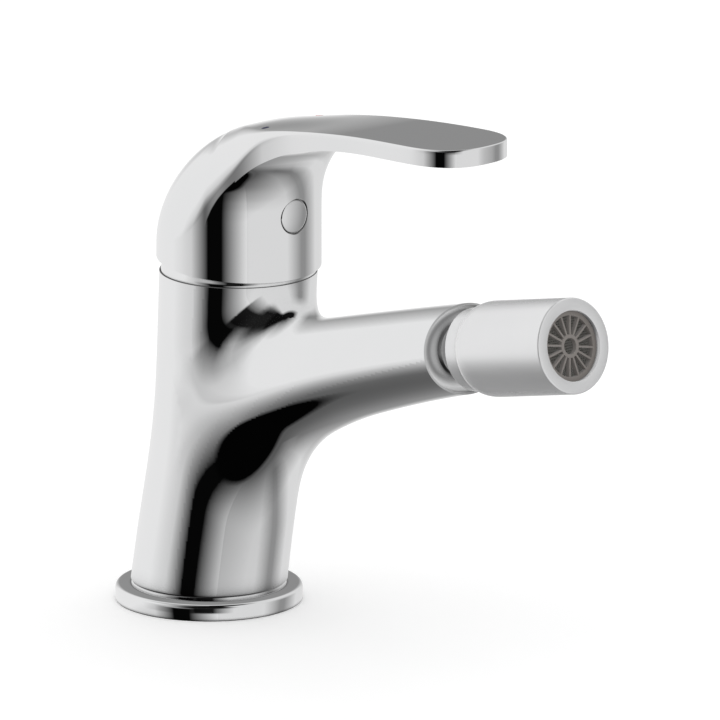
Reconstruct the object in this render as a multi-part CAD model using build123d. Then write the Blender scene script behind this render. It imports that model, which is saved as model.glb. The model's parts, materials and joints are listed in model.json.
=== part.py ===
from build123d import *
import math
import os

# Single-lever bidet mixer with a swivelling spray nozzle, in millimetres.
# +Z is up, +X runs out along the spout, and the origin is the centre of the base ring's underside.

# Base ring, and the gasket that lies in its underside
flange_radius = 27.5
flange_height = 4.8
flange_edge_radius = 1.2
seat_step_height = 1.2
base_bore_radius = 16.5
locating_lip_height = 2.5
locating_lip_clearance = 0.8
gasket_depth = 1.5
gasket_inset = 2.5

# Casting: a round column that leans forward, then a spout that rises from it
column_radius = 23.0
casting_top_z = 101.7
head_offset = 13.0
casting_wall = 3.6
column_height_shares = (0, 0.125, 0.26, 0.42, 0.585, 0.775, 1)
column_lean_shares = (0, 0.17, 0.37, 0.60, 0.77, 0.88, 1)
column_radius_shares = (1, 0.99, 0.985, 0.98, 0.985, 0.99, 1)
foot_edge_radius = 0.6
hollow_top_z = 44.0
spout_mouth_x = 109.4
spout_mouth_z = 95.5
spout_rise_deg = 12.0
spout_root_z = 63.0
spout_root_rise_deg = 20.0
mouth_half_width = 17.1
mouth_half_height = 13.4
# Places along the run from the column's axis to the mouth, and what they have of its climb and turn
spout_run_shares = (0, 0.33, 0.50, 0.735, 1)
spout_climb_shares = (0, 0.375, 0.565, 0.78, 1)
spout_turn_shares = (0, 0.1, 0.25, 0.55, 1)
spout_width_shares = (1.07, 1.06, 1.045, 1.02, 1)
spout_height_shares = (1.36, 1.24, 1.14, 1.04, 1)
spout_blend_radius = 11.0
mouth_lip_width = 0.7
mouth_cup_depth = 4.5
mouth_cup_depth_shares = (0, 0.5, 1)
mouth_cup_size_shares = (1, 0.92, 0.62)
cutter_overrun = 2.0

# Waterways, hose threads and the fixing stud's thread in the casting
inlet_thread_radius = 5.0
inlet_thread_depth = 10.0
inlet_x = 5.0
inlet_half_spacing = 7.5
inlet_port_x = 6.5
inlet_port_radius = 3.0
outlet_port_x = 20.5
outlet_port_radius = 3.2
outlet_drop = 11.5
spout_channel_x = 42.0
spout_channel_rise = 2.0
stud_thread_radius = 4.0
stud_thread_depth = 14.0
stud_x = -7.0

# Cartridge chamber and the cartridge, about the head's axis
chamber_floor_z = 68.0
chamber_radius = 17.75
nut_thread_radius = 19.0
nut_seat_z = 92.5
collar_bore_radius = 20.6
collar_bore_depth = 3.0
thread_clearance = 0.05
cartridge_clearance = 0.35
cartridge_base_height = 4.5
port_seal_height = 1.6
port_seal_width = 1.3
seal_clearance = 0.1
fixed_disc_radius = 14.3
fixed_disc_height = 3.0
moving_disc_radius = 10.5
moving_disc_height = 3.5
moving_disc_offset = -3.3
disc_film = 0.05
mixing_pocket_radius = 6.0
mixing_pocket_depth = 1.8
disc_carrier_height = 5.5
disc_carrier_inset = 0.2
finger_pocket_radius = 3.0
finger_pocket_depth = 5.0
housing_inner_radius = 15.1
housing_neck_radius = 14.0
housing_neck_bore_radius = 12.0
housing_shoulder_z = 88.0
housing_top_z = 102.3
sleeve_gap = 0.5
sleeve_flange_radius = 14.7
sleeve_flange_clearance = 0.3
sleeve_running_clearance = 0.08
sleeve_top_drop = 0.8
sleeve_slot_half_length = 9.2
sleeve_slot_width = 8.4
pivot_z = 98.0
pivot_pin_radius = 1.5
pivot_pin_length = 22.0
pivot_running_clearance = 0.05
pin_seat_clearance = 0.02
stem_width = 8.0
stem_eye_radius = 5.0
stem_finger_radius = 2.0
stem_finger_reach = 15.6
stem_tip_radius = 2.5
nut_bore_clearance = 0.2
nut_hex_radius = 17.4
nut_hex_height = 3.6
nut_thread_top_z = 98.5

# Cover ring: a zone of a ball about the lever's pivot
cover_ball_radius = 23.28
cover_inner_ball_radius = 20.3
cover_spigot_radius = 20.5
cover_spigot_bore_radius = 18.4
cover_seam = 0.05
ring_seal_radius = 0.53
ring_seal_groove_height = 1.3
ring_seal_groove_depth = 1.0
ring_seal_drop = 1.35

# Lever handle: a skirted cap whose hood runs on into a flat blade
cap_radius = 24.0
handle_foot_slope = 0.075
hood_start_z = 99.0
lever_reach = 104.6
lever_top_z = 157.9
blade_half_width = 15.6
blade_tip_radius = 9.0
# Heights in the handle, as shares of the lever's rise above its pivot
handle_foot_share = 0.117
cover_top_share = 0.192
skirt_bore_top_share = 0.2
hub_foot_share = 0.234
grub_share = 0.4
crown_bore_top_share = 0.467
stem_top_share = 0.484
# Each hood section: side edge and ridge as shares of the reach and of the height above the hood's
# start, the half width as a share of the cap's radius, then the corner's width and height as shares
# of that
hood_section_shares = (
    (0.015, 0.000, -0.231, 0.000, 1.006, 0.985, 0.985),
    (0.027, 0.144, -0.230, 0.170, 1.006, 0.985, 0.985),
    (0.054, 0.263, -0.213, 0.329, 1.003, 0.985, 0.930),
    (0.091, 0.410, -0.172, 0.486, 0.978, 0.980, 0.920),
    (0.132, 0.510, -0.107, 0.634, 0.915, 0.975, 0.945),
    (0.173, 0.585, -0.012, 0.757, 0.852, 0.965, 0.900),
    (0.209, 0.648, 0.103, 0.836, 0.785, 0.800, 0.650),
    (0.244, 0.700, 0.199, 0.875, 0.712, 0.600, 0.300),
    (0.284, 0.740, 0.269, 0.892, 0.665, 0.300, 0.160),
    (0.330, 0.774, 0.325, 0.905, 0.638, 0.150, 0.100),
    (0.427, 0.828, 0.424, 0.926, 0.619, 0.080, 0.067),
    (0.535, 0.863, 0.535, 0.949, 0.620, 0.067, 0.060),
    (0.688, 0.888, 0.688, 0.972, 0.632, 0.052, 0.052),
    (0.870, 0.910, 0.870, 0.989, 0.649, 0.051, 0.051),
    (1.040, 0.924, 1.040, 1.000, 0.650, 0.051, 0.051),
)
# How many spans between those sections are curved, before the blade begins, and the least side
# that a round corner leaves
curved_span_count = 9
least_side_height = 0.8
# Each section of the cap's front as it flares into the blade: height, forward shift, half length
# and half width, the height as a share of the handle's and the rest of the cap's radius
cap_section_shares = (
    (0.380, 0.000, 1.000, 1.000),
    (0.500, 0.012, 1.020, 0.985),
    (0.610, 0.085, 1.085, 0.905),
    (0.720, 0.230, 1.195, 0.785),
    (0.810, 0.415, 1.370, 0.680),
    (0.900, 0.625, 1.670, 0.580),
)
# How far the cap's front is carried up into the hood, and its outline's far corner
cap_overlap = 2.5
cap_front_reach_share = 0.6
skirt_bore_radius = 23.05
crown_bore_radius = 16.5
hub_radius = 8.5
stem_socket_clearance = 0.05
stem_socket_depth_beyond = 0.6
grub_boss_radius = 6.3
grub_radius = 3.0
grub_length = 8.0
grub_socket_radius = 1.7
grub_socket_depth = 3.0
grub_clearance = 0.05
plug_radius = 5.2
plug_depth = 3.4
plug_bore_overrun = 8.0
plug_clearance = 0.15
plug_edge_radius = 0.7
mark_radius = 1.1
mark_depth = 0.5
mark_rise = 0.06
mark_half_spacing = 10.8
mark_forward = 22.0
mark_place_share = 0.35

# Ball joint and nozzle, along the nozzle's axis from the spout's mouth
ball_centre = 8.0
ball_radius = 8.0
ball_neck_radius = 4.0
ball_shoulder_radius = 7.4
ball_shoulder_height = 1.5
ball_thread_radius = 6.0
ball_thread_length = 10.0
ball_water_radius = 2.8
seat_clearance = 0.12
seat_thickness = 1.3
rear_seat_reach = 4.2
front_seat_reach = 4.6
nozzle_swing_deg = 15.0
nozzle_start = 3.5
nozzle_seam = 8.4
nozzle_neck_radius = 12.2
nozzle_radius = 14.0
nozzle_shoulder_end = 14.0
nozzle_end = 45.3
nozzle_edge_radius = 0.5
nozzle_bore_radius = 11.1
nozzle_lip_thickness = 1.4
nozzle_mouth_radius = 10.3
collar_thread_length = 3.2
collar_opening_radius = 7.0
collar_seam = 0.05
ball_cup_back = 11.8
ball_cup_front = 26.4
ball_cup_water_radius = 4.5
insert_clearance = 0.1
aerator_seal_height = 1.6
aerator_seal_bore_radius = 7.0
strainer_height = 1.2
strainer_hole_radius = 0.9
strainer_rows = ((0, 1), (3.0, 6), (6.0, 12))
aerator_cup_wall = 1.8
grille_height = 1.5
grille_rim_bore_radius = 8.9
grille_spokes = 16
grille_spoke_width = 0.5
grille_hub_radius = 3.4
grille_hub_bore_radius = 2.4
grille_hub_floor = 0.6
mesh_height = 0.6
mesh_gap = 0.4

# Worked out from the sizes above
casting_foot_z = flange_height + seat_step_height
gasket_inner_radius = base_bore_radius + gasket_inset
gasket_outer_radius = flange_radius - gasket_inset
lever_rise = lever_top_z - pivot_z
handle_foot_z = pivot_z + handle_foot_share * lever_rise
cover_top_z = pivot_z + cover_top_share * lever_rise
skirt_bore_top_z = pivot_z + skirt_bore_top_share * lever_rise
hub_foot_z = pivot_z + hub_foot_share * lever_rise
grub_z = pivot_z + grub_share * lever_rise
crown_bore_top_z = pivot_z + crown_bore_top_share * lever_rise
stem_top_z = pivot_z + stem_top_share * lever_rise
spout_rise = math.radians(spout_rise_deg)
nozzle_direction = (math.cos(spout_rise), 0, math.sin(spout_rise))
nozzle_place = Plane(
    origin=(spout_mouth_x, 0, spout_mouth_z), x_dir=(0, 1, 0), z_dir=nozzle_direction
).location
base_align = (Align.CENTER, Align.CENTER, Align.MIN)


def rod(radius, low, high, x=0, y=0):
    """A solid cylinder along Z, from low to high."""
    return Pos(x, y, low) * Cylinder(radius, high - low, align=base_align)


def tube(outer, inner, low, high, x=0, y=0):
    """A ring or tube along Z, from low to high."""
    overrun = cutter_overrun
    return rod(outer, low, high, x, y) - rod(inner, low - overrun, high + overrun, x, y)


def rod_x(radius, start, end, z):
    """A solid cylinder along X at height z, from start to end."""
    bar = Cylinder(radius, end - start, align=base_align)
    return Pos(start, 0, z) * Rotation(0, 90, 0) * bar


def between(low, high, shares):
    """Places between low and high at the given shares."""
    return [low + (high - low) * share for share in shares]


def column_stations():
    """Height, forward shift and radius of each round section of the column."""
    heights = between(casting_foot_z, casting_top_z, column_height_shares)
    shifts = [head_offset * share for share in column_lean_shares]
    radii = [column_radius * share for share in column_radius_shares]
    return list(zip(heights, shifts, radii))


def spout_stations():
    """Centre, rise, half width and half height of each oval section of the spout."""
    runs = between(head_offset, spout_mouth_x, spout_run_shares)
    climbs = between(spout_root_z, spout_mouth_z, spout_climb_shares)
    rises = between(spout_root_rise_deg, spout_rise_deg, spout_turn_shares)
    widths = [mouth_half_width * share for share in spout_width_shares]
    heights = [mouth_half_height * share for share in spout_height_shares]
    return list(zip(runs, climbs, rises, widths, heights))


def oval(x, z, rise_deg, half_width, half_height):
    """An oval face square to the spout, at a place in its middle plane."""
    rise = math.radians(rise_deg)
    plane = Plane(origin=(x, 0, z), x_dir=(0, 1, 0), z_dir=(math.cos(rise), 0, math.sin(rise)))
    return plane * Ellipse(half_width, half_height)


def round_loft(stations):
    """A solid through level circles, each a height, a forward shift and a radius."""
    return loft([Plane(origin=(x, 0, z)) * Circle(radius) for z, x, radius in stations])


def make_outer_casting():
    """Column and spout as one blended form, before anything is bored in it."""
    column = round_loft(column_stations())
    spout = loft([oval(*station) for station in spout_stations()])
    form = column + spout
    junction = [
        edge for edge in form.edges()
        if head_offset < edge.center().X < spout_mouth_x - mouth_half_width
        and casting_foot_z + foot_edge_radius < edge.center().Z < casting_top_z - collar_bore_depth
        and edge.length > casting_wall
    ]
    form = fillet(junction, spout_blend_radius)
    return fillet(form.edges().sort_by(Axis.Z)[0], foot_edge_radius)


def make_base_hollow():
    """The hollow in the column's foot, where the hoses and the stud come up."""
    stations = [(z, x, radius - casting_wall) for z, x, radius in column_stations()]
    hollow = round_loft(stations)
    return hollow & rod(2 * column_radius, casting_foot_z - cutter_overrun, hollow_top_z)


def make_spout_channel():
    """The cored channel in the spout, up to the wall that holds the ball's thread."""
    thread_back = mouth_cup_depth + ball_thread_length
    direction = nozzle_direction
    end_x = spout_mouth_x - thread_back * direction[0]
    end_z = spout_mouth_z - thread_back * direction[2]
    sections = []
    for x, z, rise, half_width, half_height in spout_stations()[1:-1]:
        if spout_channel_x - casting_wall < x < end_x:
            sections.append(oval(x, z, rise, half_width - casting_wall, half_height - casting_wall))
    shrink = 2 * casting_wall
    end_size = (mouth_half_width - shrink, mouth_half_height - shrink)
    sections.append(oval(end_x, end_z, spout_rise_deg, *end_size))
    return loft(sections)


def make_mouth_cup():
    """The shallow cup in the spout's mouth, inside its lip."""
    cup = []
    for depth_share, size_share in zip(mouth_cup_depth_shares, mouth_cup_size_shares):
        half_width = (mouth_half_width - mouth_lip_width) * size_share
        half_height = (mouth_half_height - mouth_lip_width) * size_share
        cup.append(Pos(0, 0, -mouth_cup_depth * depth_share) * Ellipse(half_width, half_height))
    return nozzle_place * loft(cup)


def make_body_casting():
    """The chromed brass casting, with its chamber, waterways and threads."""
    casting = make_outer_casting() - make_base_hollow() - make_spout_channel() - make_mouth_cup()
    overrun = cutter_overrun
    top = casting_top_z + overrun
    casting -= rod(chamber_radius, chamber_floor_z, top, head_offset)
    casting -= rod(nut_thread_radius, nut_seat_z, top, head_offset)
    casting -= rod(collar_bore_radius, casting_top_z - collar_bore_depth, top, head_offset)
    for side in (-1, 1):
        y = side * inlet_half_spacing
        thread_top = hollow_top_z + inlet_thread_depth
        casting -= rod(inlet_thread_radius, hollow_top_z - overrun, thread_top, inlet_x, y)
        port_top = chamber_floor_z + overrun
        casting -= rod(inlet_port_radius, thread_top - overrun, port_top, inlet_port_x, y)
    casting -= rod(stud_thread_radius, hollow_top_z - overrun, hollow_top_z + stud_thread_depth, stud_x)
    turn_z = chamber_floor_z - outlet_drop
    casting -= rod(outlet_port_radius, turn_z, chamber_floor_z + overrun, outlet_port_x)
    run = spout_channel_x - outlet_port_x
    climb = outlet_drop + spout_channel_rise
    slant = Cylinder(outlet_port_radius, math.hypot(run, climb), align=base_align)
    lean = math.degrees(math.atan2(run, climb))
    casting -= Pos(outlet_port_x, 0, turn_z) * Rotation(0, lean, 0) * slant
    casting -= Pos(outlet_port_x, 0, turn_z) * Sphere(outlet_port_radius)
    thread_back = -(mouth_cup_depth + ball_thread_length + overrun)
    casting -= nozzle_place * rod(ball_thread_radius + thread_clearance, thread_back, 0)
    return casting


def make_base_flange():
    """The base ring: a flat flange, the step that the casting stands on and a locating lip."""
    disc = fillet(rod(flange_radius, 0, flange_height).edges().sort_by(Axis.Z)[-1], flange_edge_radius)
    ring = disc + rod(column_radius, flange_height - flange_edge_radius, casting_foot_z)
    lip_radius = column_radius - casting_wall - locating_lip_clearance
    lip_top = casting_foot_z + locating_lip_height
    ring += rod(lip_radius, flange_height, lip_top)
    ring -= rod(base_bore_radius, -cutter_overrun, lip_top + cutter_overrun)
    return ring - tube(gasket_outer_radius, gasket_inner_radius, -cutter_overrun, gasket_depth)


def make_base_gasket():
    """The rubber gasket, flush with the base ring's underside."""
    clearance = seal_clearance
    return tube(gasket_outer_radius - clearance, gasket_inner_radius + clearance, 0, gasket_depth)


def port_places():
    """Forward place, side place and radius of the cartridge's three ports."""
    return [
        (inlet_port_x, -inlet_half_spacing, inlet_port_radius),
        (inlet_port_x, inlet_half_spacing, inlet_port_radius),
        (outlet_port_x, 0, outlet_port_radius),
    ]


def cut_ports(piece, low, high, extra=0):
    """The piece with the three ports cut through it."""
    for x, y, radius in port_places():
        piece -= rod(radius + extra, low, high, x, y)
    return piece


def make_cartridge_base():
    """The cartridge's plastic base, with a recess round each port for its seal."""
    low = chamber_floor_z
    high = low + cartridge_base_height
    base = rod(chamber_radius - cartridge_clearance, low, high, head_offset)
    base = cut_ports(base, low - cutter_overrun, high + cutter_overrun)
    recess = port_seal_width + 2 * seal_clearance
    return cut_ports(base, low - cutter_overrun, low + port_seal_height, recess)


def make_port_seals():
    """The three rubber seals between the cartridge base and the casting."""
    low = chamber_floor_z
    seals = []
    for x, y, radius in port_places():
        inner = radius + seal_clearance
        seals.append(tube(inner + port_seal_width, inner, low, low + port_seal_height, x, y))
    return Compound(seals)


def make_fixed_disc():
    """The lower ceramic disc."""
    low = chamber_floor_z + cartridge_base_height
    disc = rod(fixed_disc_radius, low, low + fixed_disc_height, head_offset)
    return cut_ports(disc, low - cutter_overrun, low + fixed_disc_height + cutter_overrun)


moving_disc_z = chamber_floor_z + cartridge_base_height + fixed_disc_height + disc_film
moving_disc_x = head_offset + moving_disc_offset
carrier_z = moving_disc_z + moving_disc_height
carrier_top_z = carrier_z + disc_carrier_height
sleeve_foot_z = carrier_top_z + sleeve_gap


def make_moving_disc():
    """The upper ceramic disc, with the pocket that joins the ports."""
    disc = rod(moving_disc_radius, moving_disc_z, carrier_z, moving_disc_x)
    pocket_top = moving_disc_z + mixing_pocket_depth
    return disc - rod(mixing_pocket_radius, moving_disc_z - cutter_overrun, pocket_top, moving_disc_x)


def make_disc_carrier():
    """The plastic carrier on the moving disc, with a pocket for the stem's finger."""
    carrier = rod(moving_disc_radius - disc_carrier_inset, carrier_z, carrier_top_z, moving_disc_x)
    floor = carrier_top_z - finger_pocket_depth
    return carrier - rod(finger_pocket_radius, floor, carrier_top_z + cutter_overrun, head_offset)


def make_cartridge_housing():
    """The cartridge's plastic housing, stepped in at its neck."""
    low = chamber_floor_z + cartridge_base_height
    housing = rod(chamber_radius - cartridge_clearance, low, nut_seat_z, head_offset)
    housing += rod(housing_neck_radius, nut_seat_z - cutter_overrun, housing_top_z, head_offset)
    housing -= rod(housing_inner_radius, low - cutter_overrun, housing_shoulder_z, head_offset)
    return housing - rod(housing_neck_bore_radius, low, housing_top_z + cutter_overrun, head_offset)


def pivot_bar(radius, length):
    """A bar along the lever's pivot axis."""
    return Pos(head_offset, 0, pivot_z) * Rotation(90, 0, 0) * Cylinder(radius, length)


def make_swivel_sleeve():
    """The sleeve that turns in the housing's neck and carries the pivot pin."""
    flange_top = housing_shoulder_z - sleeve_flange_clearance
    top = housing_top_z - sleeve_top_drop
    sleeve = rod(sleeve_flange_radius, sleeve_foot_z, flange_top, head_offset)
    barrel_radius = housing_neck_bore_radius - sleeve_running_clearance
    sleeve += rod(barrel_radius, sleeve_foot_z, top, head_offset)
    slot_height = top - sleeve_foot_z + 2 * cutter_overrun
    slot = Box(2 * sleeve_slot_half_length, sleeve_slot_width, slot_height, align=base_align)
    sleeve -= Pos(head_offset, 0, sleeve_foot_z - cutter_overrun) * slot
    return sleeve - pivot_bar(pivot_pin_radius + pin_seat_clearance, 2 * housing_neck_radius)


def make_pivot_pin():
    """The steel pin that the stem rocks on."""
    return pivot_bar(pivot_pin_radius, pivot_pin_length)


def make_cartridge_stem():
    """The square stem that the handle sits on, its eye and the finger that pushes the disc."""
    stem = Box(stem_width, stem_width, stem_top_z - pivot_z, align=base_align)
    stem = Pos(head_offset, 0, pivot_z) * stem
    stem += pivot_bar(stem_eye_radius, stem_width)
    tip_z = pivot_z - stem_finger_reach
    stem += rod(stem_finger_radius, tip_z, pivot_z, head_offset)
    stem += Pos(head_offset, 0, tip_z) * Sphere(stem_tip_radius)
    return stem - pivot_bar(pivot_pin_radius + pivot_running_clearance, 2 * stem_width)


def make_cartridge_nut():
    """The brass nut that holds the cartridge down, with a hexagon for its key."""
    bore = housing_neck_radius + nut_bore_clearance
    nut = rod(nut_thread_radius - thread_clearance, nut_seat_z, nut_thread_top_z, head_offset)
    top = nut_thread_top_z + nut_hex_height
    hexagon = extrude(RegularPolygon(nut_hex_radius, 6), nut_hex_height)
    nut += Pos(head_offset, 0, nut_thread_top_z) * hexagon
    return nut - rod(bore, nut_seat_z - cutter_overrun, top + cutter_overrun, head_offset)


def make_cover_ring():
    """The chromed cover ring: a zone of a ball, with a grooved spigot in the casting."""
    seam_z = casting_top_z + cover_seam
    centre = Pos(head_offset, 0, pivot_z)
    zone = centre * Sphere(cover_ball_radius) - centre * Sphere(cover_inner_ball_radius)
    zone &= rod(cover_ball_radius, seam_z, cover_top_z, head_offset)
    spigot_foot = casting_top_z - collar_bore_depth + cover_seam
    ring = zone + rod(cover_spigot_radius, spigot_foot, seam_z + collar_bore_depth / 2, head_offset)
    bore_top = seam_z + collar_bore_depth
    ring -= rod(cover_spigot_bore_radius, spigot_foot - cutter_overrun, bore_top, head_offset)
    groove_z = casting_top_z - ring_seal_drop
    half = ring_seal_groove_height / 2
    outer = cover_spigot_radius + cutter_overrun
    inner = cover_spigot_radius - ring_seal_groove_depth
    return ring - tube(outer, inner, groove_z - half, groove_z + half, head_offset)


def make_ring_seal():
    """The O-ring in the cover ring's groove."""
    major = collar_bore_radius - ring_seal_radius - cover_seam / 2
    return Pos(head_offset, 0, casting_top_z - ring_seal_drop) * Torus(major, ring_seal_radius)


def hood_places():
    """Side edge, ridge, half width and corner sizes of each hood section, in millimetres."""
    height = lever_top_z - hood_start_z
    places = []
    for edge_x, edge_z, ridge_x, ridge_z, width, inward, upward in hood_section_shares:
        edge = (head_offset + edge_x * lever_reach, hood_start_z + edge_z * height)
        ridge = (head_offset + ridge_x * lever_reach, hood_start_z + ridge_z * height)
        half_width = width * cap_radius
        largest = math.dist(edge, ridge) - least_side_height
        corner = (inward * half_width, min(upward * half_width, largest))
        places.append((edge, ridge, half_width, corner))
    return places


def hood_section(edge, ridge, half_width, corner):
    """One closed hood section: a flat foot, straight sides, round corners and a flat ridge."""
    depth = math.dist(edge, ridge)
    up = ((ridge[0] - edge[0]) / depth, 0, (ridge[1] - edge[1]) / depth)
    normal = Vector(0, 1, 0).cross(Vector(*up))
    plane = Plane(origin=(edge[0], 0, edge[1]), x_dir=(0, 1, 0), z_dir=normal)
    inward, upward = corner
    inner = half_width - inward
    side = depth - upward
    outline = (
        Line((-half_width, 0), (half_width, 0))
        + Line((half_width, 0), (half_width, side))
        + EllipticalCenterArc((inner, side), inward, upward)
        + Line((inner, depth), (-inner, depth))
        + EllipticalCenterArc((-inner, side), inward, upward, 90)
        + Line((-half_width, side), (-half_width, 0))
    )
    return plane * make_face(outline)


def make_hood():
    """The hood and blade, through all their sections, with the blade's round tip."""
    sections = [hood_section(*place) for place in hood_places()]
    curved = loft(sections[: curved_span_count + 1])
    blade = loft(sections[curved_span_count:], ruled=True)
    length = 2 * blade_half_width + 2 * blade_tip_radius
    height = lever_top_z - hood_start_z
    middle = (head_offset + lever_reach - length / 2, 0, lever_top_z)
    block = Box(length, 2 * length, 2 * height, align=(Align.MIN, Align.CENTER, Align.CENTER))
    outline = RectangleRounded(length, 2 * blade_half_width, blade_tip_radius)
    return curved + blade - Pos(*middle) * (block - extrude(outline, 2 * height, both=True))


def make_cap_front():
    """The cap's front: a round wall that flares forward under the hood."""
    height = lever_top_z - hood_start_z
    sections = []
    for rise, shift, half_length, half_width in cap_section_shares:
        centre = (head_offset + shift * cap_radius, 0, hood_start_z + rise * height)
        outline = Ellipse(half_length * cap_radius, half_width * cap_radius)
        sections.append(Plane(origin=centre) * outline)
    wall_top_z = hood_start_z + cap_section_shares[0][0] * height
    form = rod(cap_radius, hood_start_z, wall_top_z, head_offset) + loft(sections)
    edges = [place[0] for place in hood_places()]
    far_x = head_offset + cap_front_reach_share * lever_reach
    line = [(x - cap_overlap, z + cap_overlap) for x, z in edges if x < far_x]
    corners = [(line[0][0], hood_start_z - cap_overlap)] + line
    corners += [(far_x, line[-1][1]), (far_x, hood_start_z - cap_overlap)]
    outline = Plane.XZ * make_face(Polyline(*corners, close=True))
    return form & extrude(outline, 2 * cap_radius, both=True)


def make_handle_bore():
    """What is hollow in the cap, round the hub and the grub screw's boss."""
    bore = rod(skirt_bore_radius, hood_start_z - cutter_overrun, skirt_bore_top_z, head_offset)
    cone_height = crown_bore_top_z - skirt_bore_top_z
    cone = Cone(skirt_bore_radius, crown_bore_radius, cone_height, align=base_align)
    bore += Pos(head_offset, 0, skirt_bore_top_z) * cone
    bore -= rod(hub_radius, hub_foot_z, crown_bore_top_z + cutter_overrun, head_offset)
    return bore - rod_x(grub_boss_radius, head_offset, head_offset + cap_radius, grub_z)


def crown_point(place, y):
    """The point on a hood section's top at a distance from its middle."""
    edge, ridge, half_width, (inward, upward) = place
    share = max(0, (abs(y) - half_width + inward) / inward)
    drop_share = upward * (1 - math.sqrt(1 - share**2)) / math.dist(edge, ridge)
    x = ridge[0] + (edge[0] - ridge[0]) * drop_share
    return Vector(x, y, ridge[1] + (edge[1] - ridge[1]) * drop_share)


def mark_place(side):
    """Where an index mark is set in the shoulder of the hood's crown, square to it."""
    places = hood_places()
    behind = max(i for i, place in enumerate(places) if place[1][0] < head_offset + mark_forward)
    start, end = places[behind], places[behind + 1]
    middle = side * mark_half_spacing
    along = crown_point(end, middle) - crown_point(start, middle)
    across = crown_point(start, middle + mark_radius) - crown_point(start, middle - mark_radius)
    origin = crown_point(start, middle) + along * mark_place_share
    return Plane(origin=origin, x_dir=across, z_dir=along.cross(across)).location


def make_mark(side):
    """One enamel index mark."""
    return mark_place(side) * rod(mark_radius, -mark_depth, mark_rise)


plug_face_x = head_offset + cap_radius
plug_back_x = plug_face_x - plug_depth


def make_lever_handle():
    """The chromed lever handle, bored for the stem, the grub screw and its plug."""
    handle = make_hood() + make_cap_front()
    reach = 2 * lever_reach
    below = Box(reach, reach, reach, align=(Align.CENTER, Align.CENTER, Align.MAX))
    tilt = Rotation(0, math.degrees(math.atan(handle_foot_slope)), 0)
    handle -= Pos(head_offset, 0, handle_foot_z) * tilt * below
    handle -= make_handle_bore()
    socket_width = stem_width + 2 * stem_socket_clearance
    socket_height = stem_top_z - hub_foot_z + stem_socket_depth_beyond + cutter_overrun
    socket = Box(socket_width, socket_width, socket_height, align=base_align)
    handle -= Pos(head_offset, 0, hub_foot_z - cutter_overrun) * socket
    handle -= rod_x(grub_radius + grub_clearance, head_offset, plug_face_x, grub_z)
    handle -= rod_x(plug_radius + plug_clearance, plug_back_x, plug_face_x + plug_bore_overrun, grub_z)
    for side in (-1, 1):
        handle -= mark_place(side) * rod(mark_radius + seal_clearance / 2, -mark_depth, cutter_overrun)
    return handle


def make_grub_screw():
    """The grub screw that clamps the handle on the stem, with its hexagon socket."""
    start = head_offset + stem_width / 2 + stem_socket_clearance
    screw = rod_x(grub_radius, start, start + grub_length, grub_z)
    key = extrude(RegularPolygon(grub_socket_radius, 6), grub_socket_depth + cutter_overrun)
    return screw - Pos(start + grub_length - grub_socket_depth, 0, grub_z) * Rotation(0, 90, 0) * key


def make_screw_plug():
    """The chromed plug over the grub screw."""
    plug = rod_x(plug_radius, plug_back_x, plug_face_x, grub_z)
    return fillet(plug.edges().sort_by(Axis.X)[-1], plug_edge_radius)


def ball_shell(outer, inner, back, front):
    """A zone of a hollow ball about the ball's centre, between two places on the axis."""
    centre = Pos(0, 0, ball_centre)
    shell = centre * Sphere(outer) - centre * Sphere(inner)
    return shell & rod(nozzle_radius, ball_centre + back, ball_centre + front)


def make_ball_stem():
    """The brass ball on its hollow threaded stem."""
    shoulder_back = -mouth_cup_depth
    stem = Pos(0, 0, ball_centre) * Sphere(ball_radius)
    stem += rod(ball_neck_radius, shoulder_back, ball_centre)
    stem += rod(ball_shoulder_radius, shoulder_back, shoulder_back + ball_shoulder_height)
    stem += rod(ball_thread_radius, shoulder_back - ball_thread_length, shoulder_back)
    start = shoulder_back - ball_thread_length - cutter_overrun
    return nozzle_place * (stem - rod(ball_water_radius, start, ball_centre + 2 * ball_radius))


seat_inner = ball_radius + seat_clearance
seat_outer = seat_inner + seat_thickness
socket_radius = seat_outer + seat_clearance
# Where the seat rings end, so that they clear each other when the nozzle swings
seat_half_gap = seat_outer * math.tan(math.radians(nozzle_swing_deg / 2)) + seat_clearance


def make_rear_seat():
    """The rear seat ring of the ball joint."""
    return nozzle_place * ball_shell(seat_outer, seat_inner, -rear_seat_reach, -seat_half_gap)


def make_front_seat():
    """The front seat ring of the ball joint."""
    return nozzle_place * ball_shell(seat_outer, seat_inner, seat_half_gap, front_seat_reach)


def make_nozzle_collar():
    """The collar that closes the nozzle behind the ball."""
    collar = rod(nozzle_neck_radius, nozzle_start, nozzle_seam - collar_seam)
    collar = fillet(collar.edges().sort_by(Axis.Z)[0], nozzle_edge_radius)
    thread_radius = nozzle_bore_radius - thread_clearance
    collar += rod(thread_radius, nozzle_seam - nozzle_edge_radius, nozzle_seam + collar_thread_length)
    collar -= Pos(0, 0, ball_centre) * Sphere(socket_radius)
    front = nozzle_seam + collar_thread_length + cutter_overrun
    collar -= rod(socket_radius, ball_centre, front)
    return nozzle_place * (collar - rod(collar_opening_radius, 0, ball_centre))


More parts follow.
